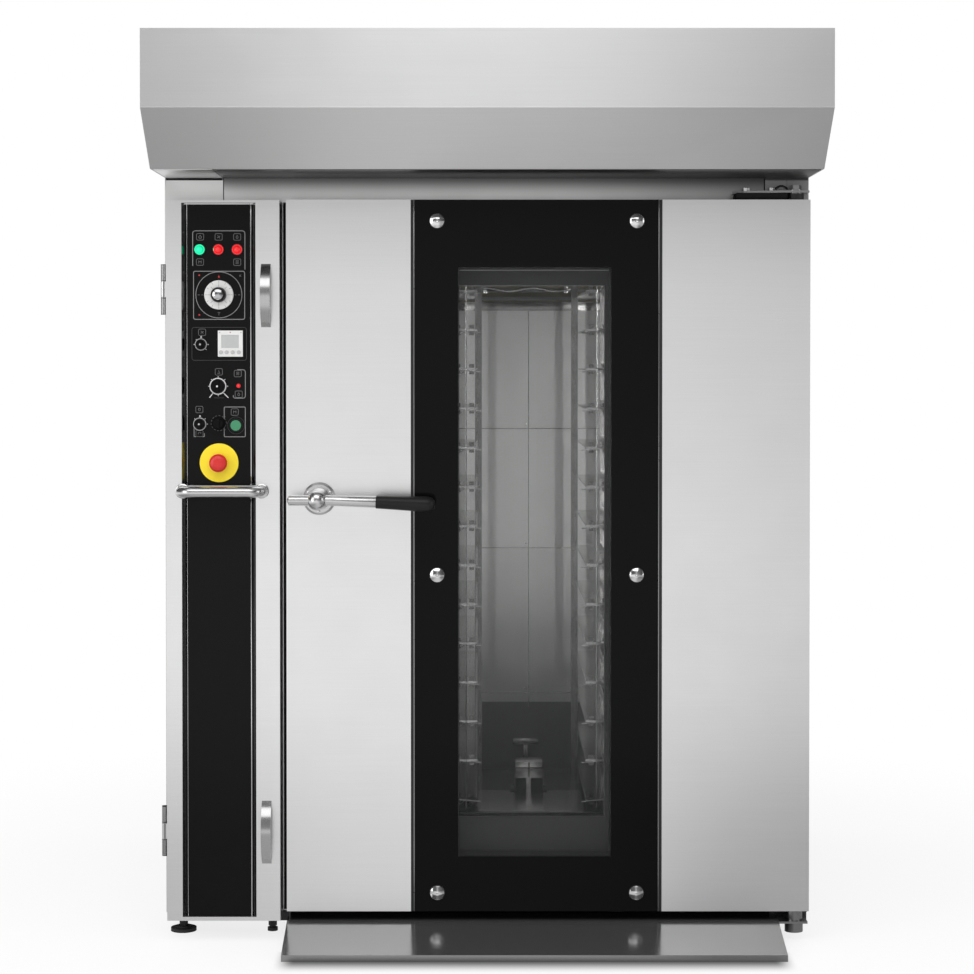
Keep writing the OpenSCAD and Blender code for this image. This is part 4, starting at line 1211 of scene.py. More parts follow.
@dataclass
class Studio:
    """Camera, lamps, pale floor and background."""

    eye: Triple = (-0.0164, -5.9212, 1.3321)
    tilt: float = 1.0
    lens: float = 87.085
    sensor: float = 36.0
    shift: Point = (0.0074, -0.0836)
    clip: Point = (0.1, 100.0)
    lamps: tuple[SoftBox, ...] = (
        SoftBox("top_box", (-0.6, -3.4, 4.2), OVEN_MIDDLE, (4.4, 2.4), 62.0),
        SoftBox("left_box", (-4.2, -3.6, 2.0), OVEN_MIDDLE, (2.4, 3.2), 55.0),
        SoftBox("right_box", (4.6, -2.6, 2.2), OVEN_MIDDLE, (1.6, 3.0), 26.0),
        SoftBox("left_strip", (-0.24, -0.34, 1.12), CHAMBER_MIDDLE, (0.03, 0.9), 2.8),
        SoftBox("right_strip", (0.46, -0.34, 1.12), CHAMBER_MIDDLE, (0.03, 0.9), 3.6),
    )
    above_eye: Falloff = Falloff(0.03, 0.17, 0.50)
    overhead: Falloff = Falloff(0.24, 0.8, 0.20)
    near_right: Falloff = Falloff(0.0, 0.26, 0.68)
    far_right: Falloff = Falloff(0.26, 0.8, 0.24)
    near_left: Falloff = Falloff(0.0, 0.2, 0.75)
    far_left: Falloff = Falloff(0.20, 0.7, 0.7)
    sky_low: float = 0.55
    sky_high: float = 0.90
    dark_corner: float = 0.03
    floor_size: float = 30.0
    floor_tone: float = 0.93
    oven_shadow: Falloff = Falloff(1.2, 2.6, 0.20)
    mirrored_floor: Point = (1.5, 3.8)
    floor_middle: float = 0.34
    floor_sides: Falloff = Falloff(0.1, 1.3, 0.46)
    floor_right: Falloff = Falloff(0.03, 0.5, 0.55)
    painted_ramp_shadow: Falloff = Falloff(-0.01, 0.10, 0.93)

    def camera(self) -> None:
        """Stands the camera in front of the door."""
        data = bpy.data.cameras.new("photo_camera")
        data.lens = self.lens
        data.sensor_width = self.sensor
        data.shift_x, data.shift_y = self.shift
        data.clip_start, data.clip_end = self.clip
        camera = bpy.data.objects.new("photo_camera", data)
        bpy.context.collection.objects.link(camera)
        camera.location = self.eye
        camera.rotation_euler = (math.radians(90.0 - self.tilt), 0.0, 0.0)
        bpy.context.scene.camera = camera

    def _rays(self, graph: Graph) -> tuple[Value, Value]:
        """Tells what looks at the surroundings.

        Args:
            graph: node tree of the floor or of the air.

        Returns:
            1 for the camera's own rays, and 1 for mirrored or transmitted rays.
        """
        rays = graph.node("ShaderNodeLightPath").outputs
        through = Value(graph, rays["Is Transmission Ray"])
        return Value(graph, rays["Is Camera Ray"]), Value(graph, rays["Is Glossy Ray"]) + through

    def world(self) -> None:
        """White background for the camera, and one that greys towards the sides for gloss."""
        air = bpy.data.worlds.new("studio_air")
        bpy.context.scene.world = air
        air.use_nodes = True
        graph = Graph.on(air.node_tree)
        direction = graph.node("ShaderNodeTexCoord").outputs["Generated"]
        split = graph.node("ShaderNodeSeparateXYZ", inputs={0: direction})
        side, _, rise = (Value(graph, socket) for socket in split.outputs[:3])
        seen, mirrored = self._rays(graph)
        level = 1 - self.above_eye.loss(rise) - self.overhead.loss(rise)
        right = 1 - self.near_right.loss(side) - self.far_right.loss(side)
        left = 1 - self.near_left.loss(0 - side) * rise.smooth(0.02, 0.10)
        edge = 1 - self.far_left.loss(0 - side)
        share = (seen + mirrored * level * right * left * edge).smaller(1.0)
        low, high = opaque(grey(self.sky_low)), opaque(grey(self.sky_high))
        sky = graph.blend(rise.smooth(-0.4, 0.9), low, high)
        ambient = graph.blend(mirrored.smaller(1.0), sky, opaque(grey(self.dark_corner)))
        colour = graph.blend(share, ambient, opaque(WHITE))
        shader = graph.node("ShaderNodeBackground", None, {"Color": colour})
        graph.node("ShaderNodeOutputWorld", None, {"Surface": shader.outputs[0]})

    def _floor_finish(self) -> bpy.types.Material:
        """Makes the pale floor: white to the camera, with painted shade where steel mirrors it, and
        a painted shadow in front of the ramp's edge.

        Returns:
            The floor's material.
        """
        graph = Graph("studio_floor")
        x, y, _ = graph.place()
        reach = (x * x + y * y).root()
        near_oven = 1 - reach.smooth(self.oven_shadow.low, self.oven_shadow.high)
        seen, mirrored = self._rays(graph)
        # Painted shade seen only in mirrors: the floor darkens near the oven, more at its sides,
        # and towards the right.
        front = 1 - reach.smooth(*self.mirrored_floor)
        front = front * (self.floor_sides.loss(x.size()) + self.floor_middle)
        right = self.floor_right.loss(x / (1 - y.smaller(0.0)))
        mirrored_painted_shade = (mirrored * (front + right)).smaller(0.8)
        # Painted shadow: the floor darkens just in front of the ramp's front edge.
        ramp_low, ramp_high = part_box("entry_ramp")
        ahead = 1 - (ramp_low.y - y).smooth(self.painted_ramp_shadow.low, self.painted_ramp_shadow.high)
        beside = (x - ramp_low.x).smooth(-0.02, 0.03) * (ramp_high.x - x).smooth(-0.02, 0.03)
        painted_ramp_shadow = ahead * beside * (0 - y).above(0.6) * self.painted_ramp_shadow.share
        white = graph.blend(mirrored_painted_shade.larger(painted_ramp_shadow), opaque(WHITE), opaque(grey(0.04)))
        pale = graph.blend(painted_ramp_shadow, opaque(grey(self.floor_tone)), opaque(grey(0.05)))
        matt = graph.node("ShaderNodeBsdfDiffuse", None, {"Color": pale})
        glow = graph.node("ShaderNodeEmission", None, {"Color": white})
        share = (seen + mirrored).smaller(1.0) * (1 - near_oven * self.oven_shadow.share)
        shaders = {0: share, 1: matt.outputs[0], 2: glow.outputs[0]}
        return graph.finish(graph.node("ShaderNodeMixShader", None, shaders))

    def floor(self) -> None:
        """Lays a pale floor that keeps the shadow near the oven and fades to white."""
        data = bpy.data.meshes.new("studio_floor")
        mesh = bmesh.new()
        bmesh.ops.create_grid(mesh, x_segments=1, y_segments=1, size=self.floor_size)
        mesh.to_mesh(data)
        mesh.free()
        data.materials.append(self._floor_finish())
        floor = bpy.data.objects.new("studio_floor", data)
        bpy.context.collection.objects.link(floor)

    def build(self) -> None:
        """Sets up the whole studio."""
        self.camera()
        for lamp in self.lamps:
            lamp.hang()
        self.world()
        self.floor()
        bpy.context.scene.view_settings.view_transform = "Standard"


# ---------------------------------------------------------------- sub-assemblies


@dataclass
class Casing:
    """Casing sheets, header, canopy, ramp, brackets and feet."""

    finishes: Finishes
    screw: float = 5 * MM
    screw_rows: int = 7
    roof_screws: int = 8
    left_end: float = 135.0
    right_end: float = 100.0
    end_fold: float = 50.0
    soffit_reach: float = 161 * MM
    vent_pitch: float = 24 * MM
    rear_vents: tuple[float, ...] = (-0.44, 0.06, 0.50)
    side_vents: tuple[float, ...] = (0.30, 1.42)
    vent_length: float = 0.16
    side_vent_length: float = 0.14
    flue: Point = (-0.22, 0.3)
    flue_bolt_circle: float = 0.088
    lifting_eye: float = 20 * MM
    eye_wire: float = 5 * MM
    eye_inset: float = 0.12
    water_union: Point = (-0.272, 1.45)
    cable_gland: Point = (-0.596, 1.85)
    gland_cap: tuple[Point, ...] = (
        (20.2, 0.0), (22.5, 0.0), (22.5, 9.0), (20.4, 13.0), (20.2, 0.0)
    )
    bracket_plate: float = 13 * MM
    pivot_inset: float = 28 * MM

    def dress(self, frame: Mapping[str, object]) -> None:
        """Gives the casing's solids their finishes.
        """
        shop = self.finishes
        dress(("left_side_panel", "right_side_panel", "rear_panel"), shop.upright, frame)
        dress(("top_panel", "control_cabinet"), shop.sheet, frame)
        dress(("front_frame",), shop.header, frame)
        dress(("hood_canopy",), shop.canopy, frame)
        dress(("entry_ramp",), shop.ramp, frame)
        dress(("door_brackets", "control_hinges"), shop.hinge, frame)
        dress(("levelling_feet",), shop.foot, frame)
        dress(("base_frame", "roof_deck"), shop.dark_steel, frame)
        dress(("insulation",), shop.wool, frame)

    def header_gap_shade_and_seams(self) -> None:
        """Near-black painted shade in the gap under the canopy and in the gap between the column
        and the door, and dark lines in the header's two seams.
        """
        low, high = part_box("front_frame")
        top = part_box("hood_canopy")[0].z
        left, right = (low.x, low.y, top), (high.x, low.y, top)
        # Painted shade: a near-black strip in the gap under the canopy's left end.
        stock = Stock().block(near(left, 2, -1.2, -6), near(left, 132, 2, -0.2), 0.4 * MM)
        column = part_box("control_door")[1].x
        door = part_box("door_left_skin")[0].x
        # Painted shade: a near-black block in the gap between the column and the main door.
        gap = ((column, low.y, low.z), (door, low.y, top))
        stock.block(near(gap[0], 1.5, -2, 2), near(gap[1], -1.5, 1, -58))
        seams = ((left, self.left_end + 0.4, 0.9), (right, -self.right_end - 2, 1.3))
        for end, middle, half in seams:
            stock.block(near(end, middle - half, -0.5, -55), near(end, middle + half, 1, -1))
        stock.piece("header_gap_shade_and_seams", Body.OVEN, self.finishes.shadow, Slot.SEAL)

    def header_ends(self) -> None:
        """Lighter end pieces of the header, the right one with an upright fold."""
        low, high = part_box("front_frame")
        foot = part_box("door_liner")[1].z + 4 * MM
        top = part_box("hood_canopy")[0].z - 6.4 * MM
        fold = high.x - self.end_fold * MM
        stock = Stock().block(
            near((fold, low.y, foot), -0.5, -0.3, 0), near((fold, low.y, high.z), 0.5, 1, -8)
        )
        for x, first, last in (
            (low.x, 0.8, self.left_end - 0.8),
            (high.x, -self.right_end - 0.4, -self.end_fold - 1),
            (high.x, -self.end_fold + 1, -0.8),
        ):
            stock.block(near((x, low.y, foot), first, -0.8, 0), near((x, low.y, top), last, 1, 0))
        stock.piece("header_ends", Body.OVEN, self.finishes.header_end, Slot.STAINLESS)

    def soffit(self) -> None:
        """Two trays that close the canopy from below; the right one is near black, painted shade of
        the canopy's underside, and the left one lighter.
        """
        low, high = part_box("hood_canopy")
        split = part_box("front_frame")[0].x + self.left_end * MM
        back = high.y - 2 * MM
        front = low.y + self.soffit_reach
        for name, first, last, finish in (
            ("soffit_end", low.x + 6 * MM, split - 0.5 * MM, self.finishes.header_end),
            ("soffit_tray", split + 0.5 * MM, high.x - 6 * MM, self.finishes.soffit),
        ):
            under, over = low.z - 1.6 * MM, low.z + 0.5 * MM
            tray = Stock().block((first, front, under), (last, back, over), 0.4 * MM)
            tray.piece(name, Body.OVEN, finish, Slot.STAINLESS)

    def side_screws(self) -> None:
        """Rows of domed screws down both side sheets, the rear sheet and round the roof."""
        stock = Stock()
        for name, side in (("left_side_panel", -1), ("right_side_panel", 1)):
            low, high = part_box(name)
            face = low.x if side < 0 else high.x
            for y in (low.y + 30 * MM, high.y - 22 * MM):
                for z in self._rows(low.z, high.z, self.screw_rows):
                    stock.screw((face, y, z), (side, 0, 0), self.screw)
        low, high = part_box("rear_panel")
        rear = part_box("right_side_panel")[1].y
        for x in (low.x + 25 * MM, -25 * MM, high.x - 25 * MM):
            for z in self._rows(low.z, high.z, self.screw_rows):
                stock.screw((x, rear, z), (0, 1, 0), self.screw)
        roof = high.z + 1.5 * MM
        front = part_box("top_panel")[0].y
        for x in self._rows(low.x, high.x, self.roof_screws):
            for y in (front + 25 * MM, rear - 20 * MM):
                stock.screw((x, y, roof), (0, 0, 1), self.screw)
        stock.piece("casing_screws", Body.OVEN, self.finishes.polished, Slot.POLISHED)

    def _rows(self, low: float, high: float, count: int) -> list[float]:
        """Evenly spread places between two ends, a little inside them."""
        first, last = low + 40 * MM, high - 60 * MM
        return [first + (last - first) * i / (count - 1) for i in range(count)]

    def louvres(self) -> None:
        """Pressed vents of the roof space and of the control cabinet."""
        stock = Stock()
        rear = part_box("right_side_panel")[1].y
        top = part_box("rear_panel")[1].z - 0.22
        for x in self.rear_vents:
            for i in range(6):
                foot = (x, rear, top + i * self.vent_pitch)
                self._louvre(stock, foot, self.vent_length, (0, 1))
        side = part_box("left_side_panel")[0]
        for base in self.side_vents:
            for i in range(8):
                foot = (side.x, side.y + 0.16, base + i * self.vent_pitch)
                self._louvre(stock, foot, self.side_vent_length, (-1, 0))
        stock.piece("louvres", Body.OVEN, self.finishes.upright, Slot.STAINLESS)

    def _louvre(
        self, stock: Stock, foot: Sequence[float], width: float, way: tuple[int, int]
    ) -> None:
        """Adds one vent, a round lip with a smaller one below it.

        Args:
            stock: mesh of all vents.
            foot: middle of the vent on the sheet.
            width: its length.
            way: X and Y of the direction in which the sheet faces.
        """
        along = Vector((-way[1], way[0], 0.0)) * (width / 2)
        base = Vector(foot)
        stock.rod(base - along, base + along, 7 * MM, 12)
        drop = Vector((way[0], way[1], -1.0)) * 5 * MM
        stock.rod(base - along + drop, base + along + drop, 3 * MM, 8)

    def roof_fittings(self) -> None:
        """Bolts of the flue flange and lifting eyes at the corners of the roof."""
        low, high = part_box("top_panel")
        roof = high.z - 60 * MM
        flue = (self.flue[0], high.y - self.flue[1])
        bolts = Stock()
        for x, y in circle(flue, self.flue_bolt_circle, 8, 22.5):
            bolts.rod((x, y, roof + 3 * MM), (x, y, roof + 8 * MM), 6 * MM, 6)
        eye = arc((self.lifting_eye, 0.0), self.eye_wire, 0, 360, 10)
        for x in (low.x + self.eye_inset, high.x - self.eye_inset):
            for y in (low.y + self.eye_inset, high.y - self.eye_inset):
                bolts.rod((x, y, roof), (x, y, roof + 8 * MM), 14 * MM, 20)
                bolts.lathe((x, y, roof + 28 * MM), (1, 0, 0), eye, 24)
        bolts.piece("roof_fittings", Body.OVEN, self.finishes.polished, Slot.POLISHED)

    def rear_nuts(self) -> None:
        """Lock nuts of the water union and of the cable gland."""
        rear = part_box("right_side_panel")[1].y
        nuts = Stock()
        for (x, z), depth, radius in ((self.water_union, 8, 19), (self.cable_gland, 6, 27)):
            nuts.rod((x, rear, z), (x, rear + depth * MM, z), radius * MM, 6)
        x, z = self.cable_gland
        nuts.lathe((x, rear + 6 * MM, z), (0, 1, 0), scaled(self.gland_cap, MM), 24)
        nuts.piece("rear_nuts", Body.OVEN, self.finishes.polished, Slot.POLISHED)

    def bracket_parts(self) -> None:
        """Bolts, bearing, black block and retaining spring of the upper pivot bracket."""
        low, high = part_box("door_brackets")
        plate = high.z - self.bracket_plate
        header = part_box("front_frame")[0].y
        pivot_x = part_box("door_frame")[1].x - self.pivot_inset
        bolts = Stock()
        for offset in (-110, -50):
            foot = near((pivot_x, header, plate), offset, -25, 0)
            bolts.rod(foot, near(foot, 0, 0, 2), 11 * MM, 24)
            bolts.rod(near(foot, 0, 0, 2), near(foot, 0, 0, 9), 8 * MM, 6)
        bolts.piece("bracket_bolts", Body.OVEN, self.finishes.hinge, Slot.POLISHED)
        pivot = (pivot_x, low.y, plate)
        bearing = Stock().rod(near(pivot, 0, 26, -19), near(pivot, 0, 26, -5.2), 17 * MM)
        bearing.piece("pivot_bearing", Body.OVEN, self.finishes.satin, Slot.POLISHED)
        # A black block fills the space between the bracket plate and the door's top.
        black_block = Stock().block(
            near((low.x, low.y, plate), 3, 4, -19), near((pivot_x, header, plate), -21, -0.3, -5.2),
            1 * MM,
        )
        black_block.piece("bracket_black_block", Body.OVEN, self.finishes.shadow, Slot.SEAL)
        turns = [i / 6 for i in range(7)]
        curve = [near(pivot, 28 * t - 48, 12, 4 + 7 * math.sin(math.pi * t)) for t in turns]
        spring = Stock().wire(curve, 2.5 * MM)
        spring.piece("retaining_spring", Body.OVEN, self.finishes.shadow, Slot.BLACK_PLASTIC)

    def build(self, frame: Mapping[str, object]) -> None:
        """Dresses and trims the casing.
        """
        self.dress(frame)
        self.header_gap_shade_and_seams()
        self.header_ends()
        self.soffit()
        self.side_screws()
        self.louvres()
        self.roof_fittings()
        self.rear_nuts()
        self.bracket_parts()


@dataclass
class MainDoor:
    """Skins, glass, liner, bolts, gasket and lever of the main door."""

    finishes: Finishes
    inner_border: float = 2 * MM
    inner_foot: float = 81 * MM
    bolt_sides: Point = (51 * MM, 49 * MM)
    bolt_ends: Point = (43 * MM, 49 * MM)
    bolt_middle: float = 776 * MM
    washer: tuple[Point, ...] = (
        (15.5, 0.0), (17.8, 0.0), (17.8, 0.7), (17.0, 1.2), (15.5, 1.2)
    )
    stub_sleeve: tuple[Point, ...] = (
        (0.0, 4.0), (10.4, 4.0), (11.7, 5.2), (11.7, 52.0), (0.0, 52.0)
    )
    bar_sleeve: tuple[Point, ...] = (
        (0.0, 0.0), (11.2, 0.0), (13.1, 121.0), (12.4, 122.5), (0.0, 122.5)
    )
    grip: tuple[Point, ...] = (
        (0.0, 0.0), (13.4, 0.0), (14.6, 1.6), (15.9, 55.0), (17.6, 110.0),
        (17.3, 120.0), (14.6, 128.3), (9.2, 132.4), (3.2, 133.6), (0.0, 133.7),
    )
    rose_screw_circle: float = 29 * MM
    liner_margin: float = 30 * MM
    liner_rows: int = 10

    def dress(self, frame: Mapping[str, object]) -> None:
        """Gives the door's solids their finishes.
        """
        shop = self.finishes
        dress(("door_left_skin", "door_right_skin"), shop.sheet, frame)
        dress(("door_frame",), shop.dark_steel, frame)
        dress(("door_liner",), shop.liner, frame)
        dress(("glass_bolts", "latch_spindle"), shop.polished, frame)
        dress(("handle_rose", "lever_arm"), shop.satin, frame)
        dress(("lever_grip",), shop.black, frame)
        dress(("door_gasket",), shop.seal, frame)
        low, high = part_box("door_inner_glass")
        dress(("door_outer_glass",), PrintedGlass("printed_glass", low, high).make(), frame)
        inner_low = low + Vector((self.inner_border, 0.0, self.inner_foot))
        inner_high = high - Vector((self.inner_border * 6, 0.0, self.inner_border * 20))
        pane = PrintedGlass("inner_pane", inner_low, inner_high, 0.08, (0.055, 0.056, 0.055))
        dress(("door_inner_glass",), pane.make(), frame)

    def glass_trims(self) -> None:
        """Bright beads between the skins and the glass and over the inner pane."""
        glass_low, glass_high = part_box("door_outer_glass")
        front = glass_low.y
        bead = Stock()
        for middle in (glass_low.x - 2.2 * MM, glass_high.x + 1.8 * MM):
            bead.block(
                near((middle, front, glass_low.z), -1.2, 1.5, 0),
                near((middle, glass_high.y, glass_high.z), 1.2, 0, 0),
                0.4 * MM,
            )
        low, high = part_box("door_inner_glass")
        left, right = (low.x, low.y, high.z), (high.x, low.y, high.z)
        bead.block(near(left, 3, -0.6, -6), near(right, -3, 1, -4))
        bead.piece("glass_beads", Body.DOOR, self.finishes.hinge, Slot.POLISHED)

    def bolt_seals(self) -> None:
        """Black washers under the heads of the glass bolts."""
        low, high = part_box("door_outer_glass")
        seals = Stock()
        first, last = low.z + self.bolt_ends[0], high.z - self.bolt_ends[1]
        for x in (low.x + self.bolt_sides[0], high.x - self.bolt_sides[1]):
            for z in (first, low.z + self.bolt_middle, last):
                seals.lathe((x, low.y, z), (0, -1, 0), scaled(self.washer, MM), 32)
        seals.piece("bolt_washers", Body.DOOR, self.finishes.seal, Slot.SEAL)

    def lever_trims(self) -> None:
        """Sleeves of the lever's two arms, its swelling grip, and the screws of the rose."""
        low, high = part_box("lever_grip")
        middle = (low + high) / 2
        foot = (low.x, middle.y, middle.z)
        stub = (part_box("lever_arm")[0].x, middle.y, middle.z)
        sleeves = Stock().lathe(stub, (1, 0, 0), scaled(self.stub_sleeve, MM), 40)
        sleeves.lathe(near(foot, -121, 0, 0), (1, 0, -0.03), scaled(self.bar_sleeve, MM), 40)
        sleeves.piece("lever_sleeves", Body.LEVER, self.finishes.satin, Slot.POLISHED)
        grip = Stock().lathe(near(foot, -1, 0, -3.6), (1, 0, -0.045), scaled(self.grip, MM), 48)
        piece = grip.piece("lever_grip_cover", Body.LEVER, self.finishes.black, Slot.BLACK_PLASTIC)
        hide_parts("lever_grip")
        low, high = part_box("handle_rose")
        centre = ((low.x + high.x) / 2, (low.z + high.z) / 2)
        screws = Stock()
        for x, z in circle(centre, self.rose_screw_circle, 3, 30.0):
            screws.screw((x, high.y - 10 * MM, z), (0, -1, 0), 2.8 * MM)
        screws.piece("rose_screws", Body.DOOR, self.finishes.polished, Slot.POLISHED)

    def liner_screws(self) -> None:
        """Screws round the edge of the liner and round its window."""
        low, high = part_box("door_liner")
        pane_low, pane_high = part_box("door_inner_glass")
        edges = (low.x + 14 * MM, high.x - 14 * MM)
        places = [(x, z) for x in edges for z in self._spread(low.z, high.z)]
        window = (pane_low.x - 22 * MM, pane_high.x + 14 * MM)
        places += [(x, z) for x in window for z in self._spread(pane_low.z, pane_high.z)]
        screws = Stock()
        for x, z in places:
            screws.screw((x, high.y, z), (0, 1, 0), 4 * MM)
        screws.piece("liner_screws", Body.DOOR, self.finishes.polished, Slot.POLISHED)

    def _spread(self, low: float, high: float) -> list[float]:
        """Evenly spread places between two ends, a little inside them."""
        first, reach = low + self.liner_margin, high - low - 2 * self.liner_margin
        return [first + reach * i / (self.liner_rows - 1) for i in range(self.liner_rows)]

    def build(self, frame: Mapping[str, object]) -> None:
        """Dresses and trims the door.
        """
        self.dress(frame)
        self.glass_trims()
        self.bolt_seals()
        self.lever_trims()
        self.liner_screws()


@dataclass
class ControlColumn:
    """Panel door with its trims, prints, lamps, knobs and buttons."""

    finishes: Finishes
    trim_width: float = 12.3 * MM
    frame_line: float = 1.5 * MM
    faint_line: float = 1.2 * MM
    tick_line: float = 1.4 * MM
    soft_line: float = 1.0 * MM
    red_line: float = 1.6 * MM
    sign_line: float = 1.1 * MM
    lamp_height: float = 1.596
    lamp_places: tuple[int, ...] = (-660, -617, -574)
    small_lamp: Point = (-0.571, 1.283)
    knob_ring: tuple[Point, ...] = (
        (0.88, 0.6), (1.01, -1.6), (1.01, -0.2), (0.95, 1.8), (0.88, 1.8), (0.88, 0.6)
    )
    knob_mark: tuple[Point, ...] = ((0.0, 0.0), (2.3, 0.0), (2.0, 0.4), (0.0, 0.5))
    collar: tuple[Point, ...] = (
        (13.0, 3.0), (17.8, 3.0), (17.8, 8.0), (17.2, 18.0), (16.0, 21.0), (13.0, 22.0)
    )
    dome: tuple[Point, ...] = (
        (13.4, 20.0), (13.4, 23.0), (12.0, 25.4), (8.0, 27.2), (4.0, 28.0), (0.0, 28.3)
    )
    key: tuple[Point, ...] = ((0.0, 0.0), (4.7, 0.0), (4.7, 0.5), (4.0, 0.9), (0.0, 0.7))
    key_places: tuple[float, ...] = (-21.5, -8.5, 5.5, 19.5)
    handle_plate: tuple[Point, ...] = (
        (12.6, 0.0), (17.0, 0.0), (17.0, 1.5), (14.0, 3.5), (12.6, 3.5)
    )
    hinge_middle: float = 57.5 * MM
    washer_steps: tuple[float, ...] = (-57.0, -20.0, 20.0, 57.0)

    def dress(self, frame: Mapping[str, object]) -> None:
        """Gives the column's solids their finishes.
        """
        shop = self.finishes
        dress(("control_door",), shop.sheet, frame)
        dress(("control_panel", "lower_panel"), shop.panel, frame)
        dress(("guard_handle",), shop.satin, frame)
        dress(("pull_handles",), shop.bow, frame)
        dress(("fan_knob", "steam_knob", "light_knob", "mode_knob"), shop.knob, frame)
        dress(("thermostat_knob", "timer_display"), shop.white, frame)
        dress(("estop_plate",), shop.yellow, frame)
        dress(("estop_button",), shop.red, frame)
        dress(("start_button",), shop.green, frame)
        low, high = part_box("indicator_lamps")
        lens = SignalLens("pilot_lens", low.x + (high.x - low.x) * 0.4)
        dress(("indicator_lamps",), lens.make(), frame)

    def _face(self) -> float:
        """Y of the panels' front face."""
        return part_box("control_panel")[0].y

    def _centre(self, node: str) -> Point:
        """X and Z of a node's middle."""
        low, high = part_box(node)
        return (low.x + high.x) / 2, (low.z + high.z) / 2

    def trims(self) -> None:
        """Slanted mirror strips and bright beads beside both panels, and a line over them."""
        upper_low, upper_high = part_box("control_panel")
        lower_low, lower_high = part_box("lower_panel")
        face, back = upper_low.y, upper_high.y
        mirror, bead = Stock(), Stock()
        for low, high in ((lower_low.z, lower_high.z), (upper_low.z, upper_high.z)):
            for edge, side in ((upper_low.x, -1), (upper_high.x, 1)):
                outer = edge + side * self.trim_width
                outline = [(edge + side * 0.3 * MM, back), (outer, face - 8.4 * MM), (outer, back)]
                mirror.bar(outline, low + 0.2 * MM, high - 0.2 * MM)
                wide = 1.9 * MM if side > 0 else 0.9 * MM
                first, last = sorted((edge + side * 0.2 * MM, edge + side * (0.2 * MM + wide)))
                bead.block((first, face - 1.2 * MM, low), (last, back, high), 0.3 * MM)
        left, right = (upper_low.x, face, upper_high.z), (upper_high.x, face, upper_high.z)
        bead.block(near(left, -9, -1.6, -3.4), near(right, 9, 1, -0.6), 0.8 * MM)
        mirror.piece("panel_trims", Body.COLUMN, self.finishes.mirror, Slot.POLISHED)
        bead.piece("panel_beads", Body.COLUMN, self.finishes.polished, Slot.POLISHED)

    def frames(self) -> None:
        """Printed frames round the groups of controls."""
        dial = self._centre("thermostat_knob")
        start = self._centre("start_button")
        ink = Print(self._face(), self.frame_line)
        lamps = [(-0.676, 1.5586), *arc((-0.670, 1.633), 0.006, 180, 90, 4)]
        lamps += [*arc((-0.562, 1.633), 0.006, 90, 0, 4), (-0.556, 1.550)]
        ink.route(lamps)
        ink.frame((dial[0] + 0.5 * MM, dial[1] - 1 * MM), 0.119, 0.112, 0.005)
        ink.frame((start[0] - 3 * MM, start[1] + 8 * MM), 0.050, 0.070, 0.003)
        led = [(-0.574, 1.3199), *arc((-0.5605, 1.3149), 0.005, 90, 0, 3)]
        led += arc((-0.5605, 1.2597), 0.005, 0, -90, 3)
        led += arc((-0.5785, 1.2597), 0.005, 270, 160, 4)
        ink.route(led)
        ink.route([(-0.6736, 1.190), (-0.6736, 1.166), (-0.650, 1.166), (-0.650, 1.174)])
        ink.ring(dial, 53.6 * MM, 1.3 * MM)
        ink.piece("panel_frames", Body.COLUMN, self.finishes.ink, Slot.WHITE_PLASTIC)
        faint = Print(self._face(), self.faint_line)
        faint.frame((-0.6155, 1.3794), 0.1267, 0.0767, 0.006)
        faint.ring(start, 20 * MM, 1.0 * MM)
        faint.stroke((-0.6273, 1.2553), (-0.605, 1.2553))
        faint.piece("panel_faint_lines", Body.COLUMN, self.finishes.faint_ink, Slot.WHITE_PLASTIC)

    def scales(self) -> None:
        """Printed ticks and marks round the dials."""
        dial = self._centre("thermostat_knob")
        fan = self._centre("fan_knob")
        steam = self._centre("steam_knob")
        light = self._centre("light_knob")
        mode = self._centre("mode_knob")
        pale = Print(self._face(), self.tick_line)
        pale.ticks(fan, 14.2 * MM, 17.0 * MM, (90, 0, -45, 180, 135))
        pale.ticks(steam, 19.6 * MM, 23.0 * MM, (90, 45, 0, 135, 180, 270))
        pale.stroke((-0.6301, 1.2659), (-0.6379, 1.2558), 1.8 * MM)
        pale.stroke((-0.6055, 1.2663), (-0.5945, 1.2553), 1.8 * MM)
        pale.ticks(light, 15.4 * MM, 18.2 * MM, (90, 45, 0, 135))
        for (x, z), reach in ((fan, 20), (light, 21)):
            tip = z + reach * MM
            arrow = [(x - 2.4 * MM, tip - 4 * MM), (x + 2.4 * MM, tip - 4 * MM), (x, tip)]
            pale.sheet(arrow, pale.thick, pale.front)
        pale.piece("dial_ticks", Body.COLUMN, self.finishes.bright_ink, Slot.WHITE_PLASTIC)
        soft = Print(self._face(), self.soft_line)
        soft.ticks(dial, 36 * MM, 40 * MM, (0, 180))
        soft.ticks(dial, 44 * MM, 49 * MM, (0, 180))
        x, z = dial
        soft.stroke((x - 3 * MM, z - 41 * MM), (x + 3 * MM, z - 41 * MM))
        soft.stroke((x, z - 41 * MM), (x, z - 47 * MM))
        x, z, half = x + 49 * MM, z + 44 * MM, 2 * MM
        for rise in (-half, half):
            soft.stroke((x - half, z - rise), (x + half, z + rise))
        soft.dashes(mode, 17.4 * MM, 14, 0.55)
        soft.ticks(mode, 18.5 * MM, 22 * MM, (45, 0, -45))
        soft.piece("soft_marks", Body.COLUMN, self.finishes.soft_ink, Slot.WHITE_PLASTIC)
        red = Print(self._face(), self.red_line)
        red.stroke((dial[0], dial[1] + 39 * MM), (dial[0], dial[1] + 44 * MM), 3.0 * MM)
        for x, z in ((-45, 45), (-45, -46)):
            red.dot((dial[0] + x * MM, dial[1] + z * MM), 2.0 * MM)
        red.piece("red_marks", Body.COLUMN, self.finishes.red_ink, Slot.RED)
        disc = Print(self._face() - 3.4 * MM, 0.8 * MM)
        disc.ticks(dial, 27 * MM, 32 * MM, range(0, 360, 30))
        disc.ticks(dial, 19 * MM, 26 * MM, range(0, 360, 45))
        disc.piece("thermostat_scale", Body.THERMOSTAT, self.finishes.ink, Slot.WHITE_PLASTIC)

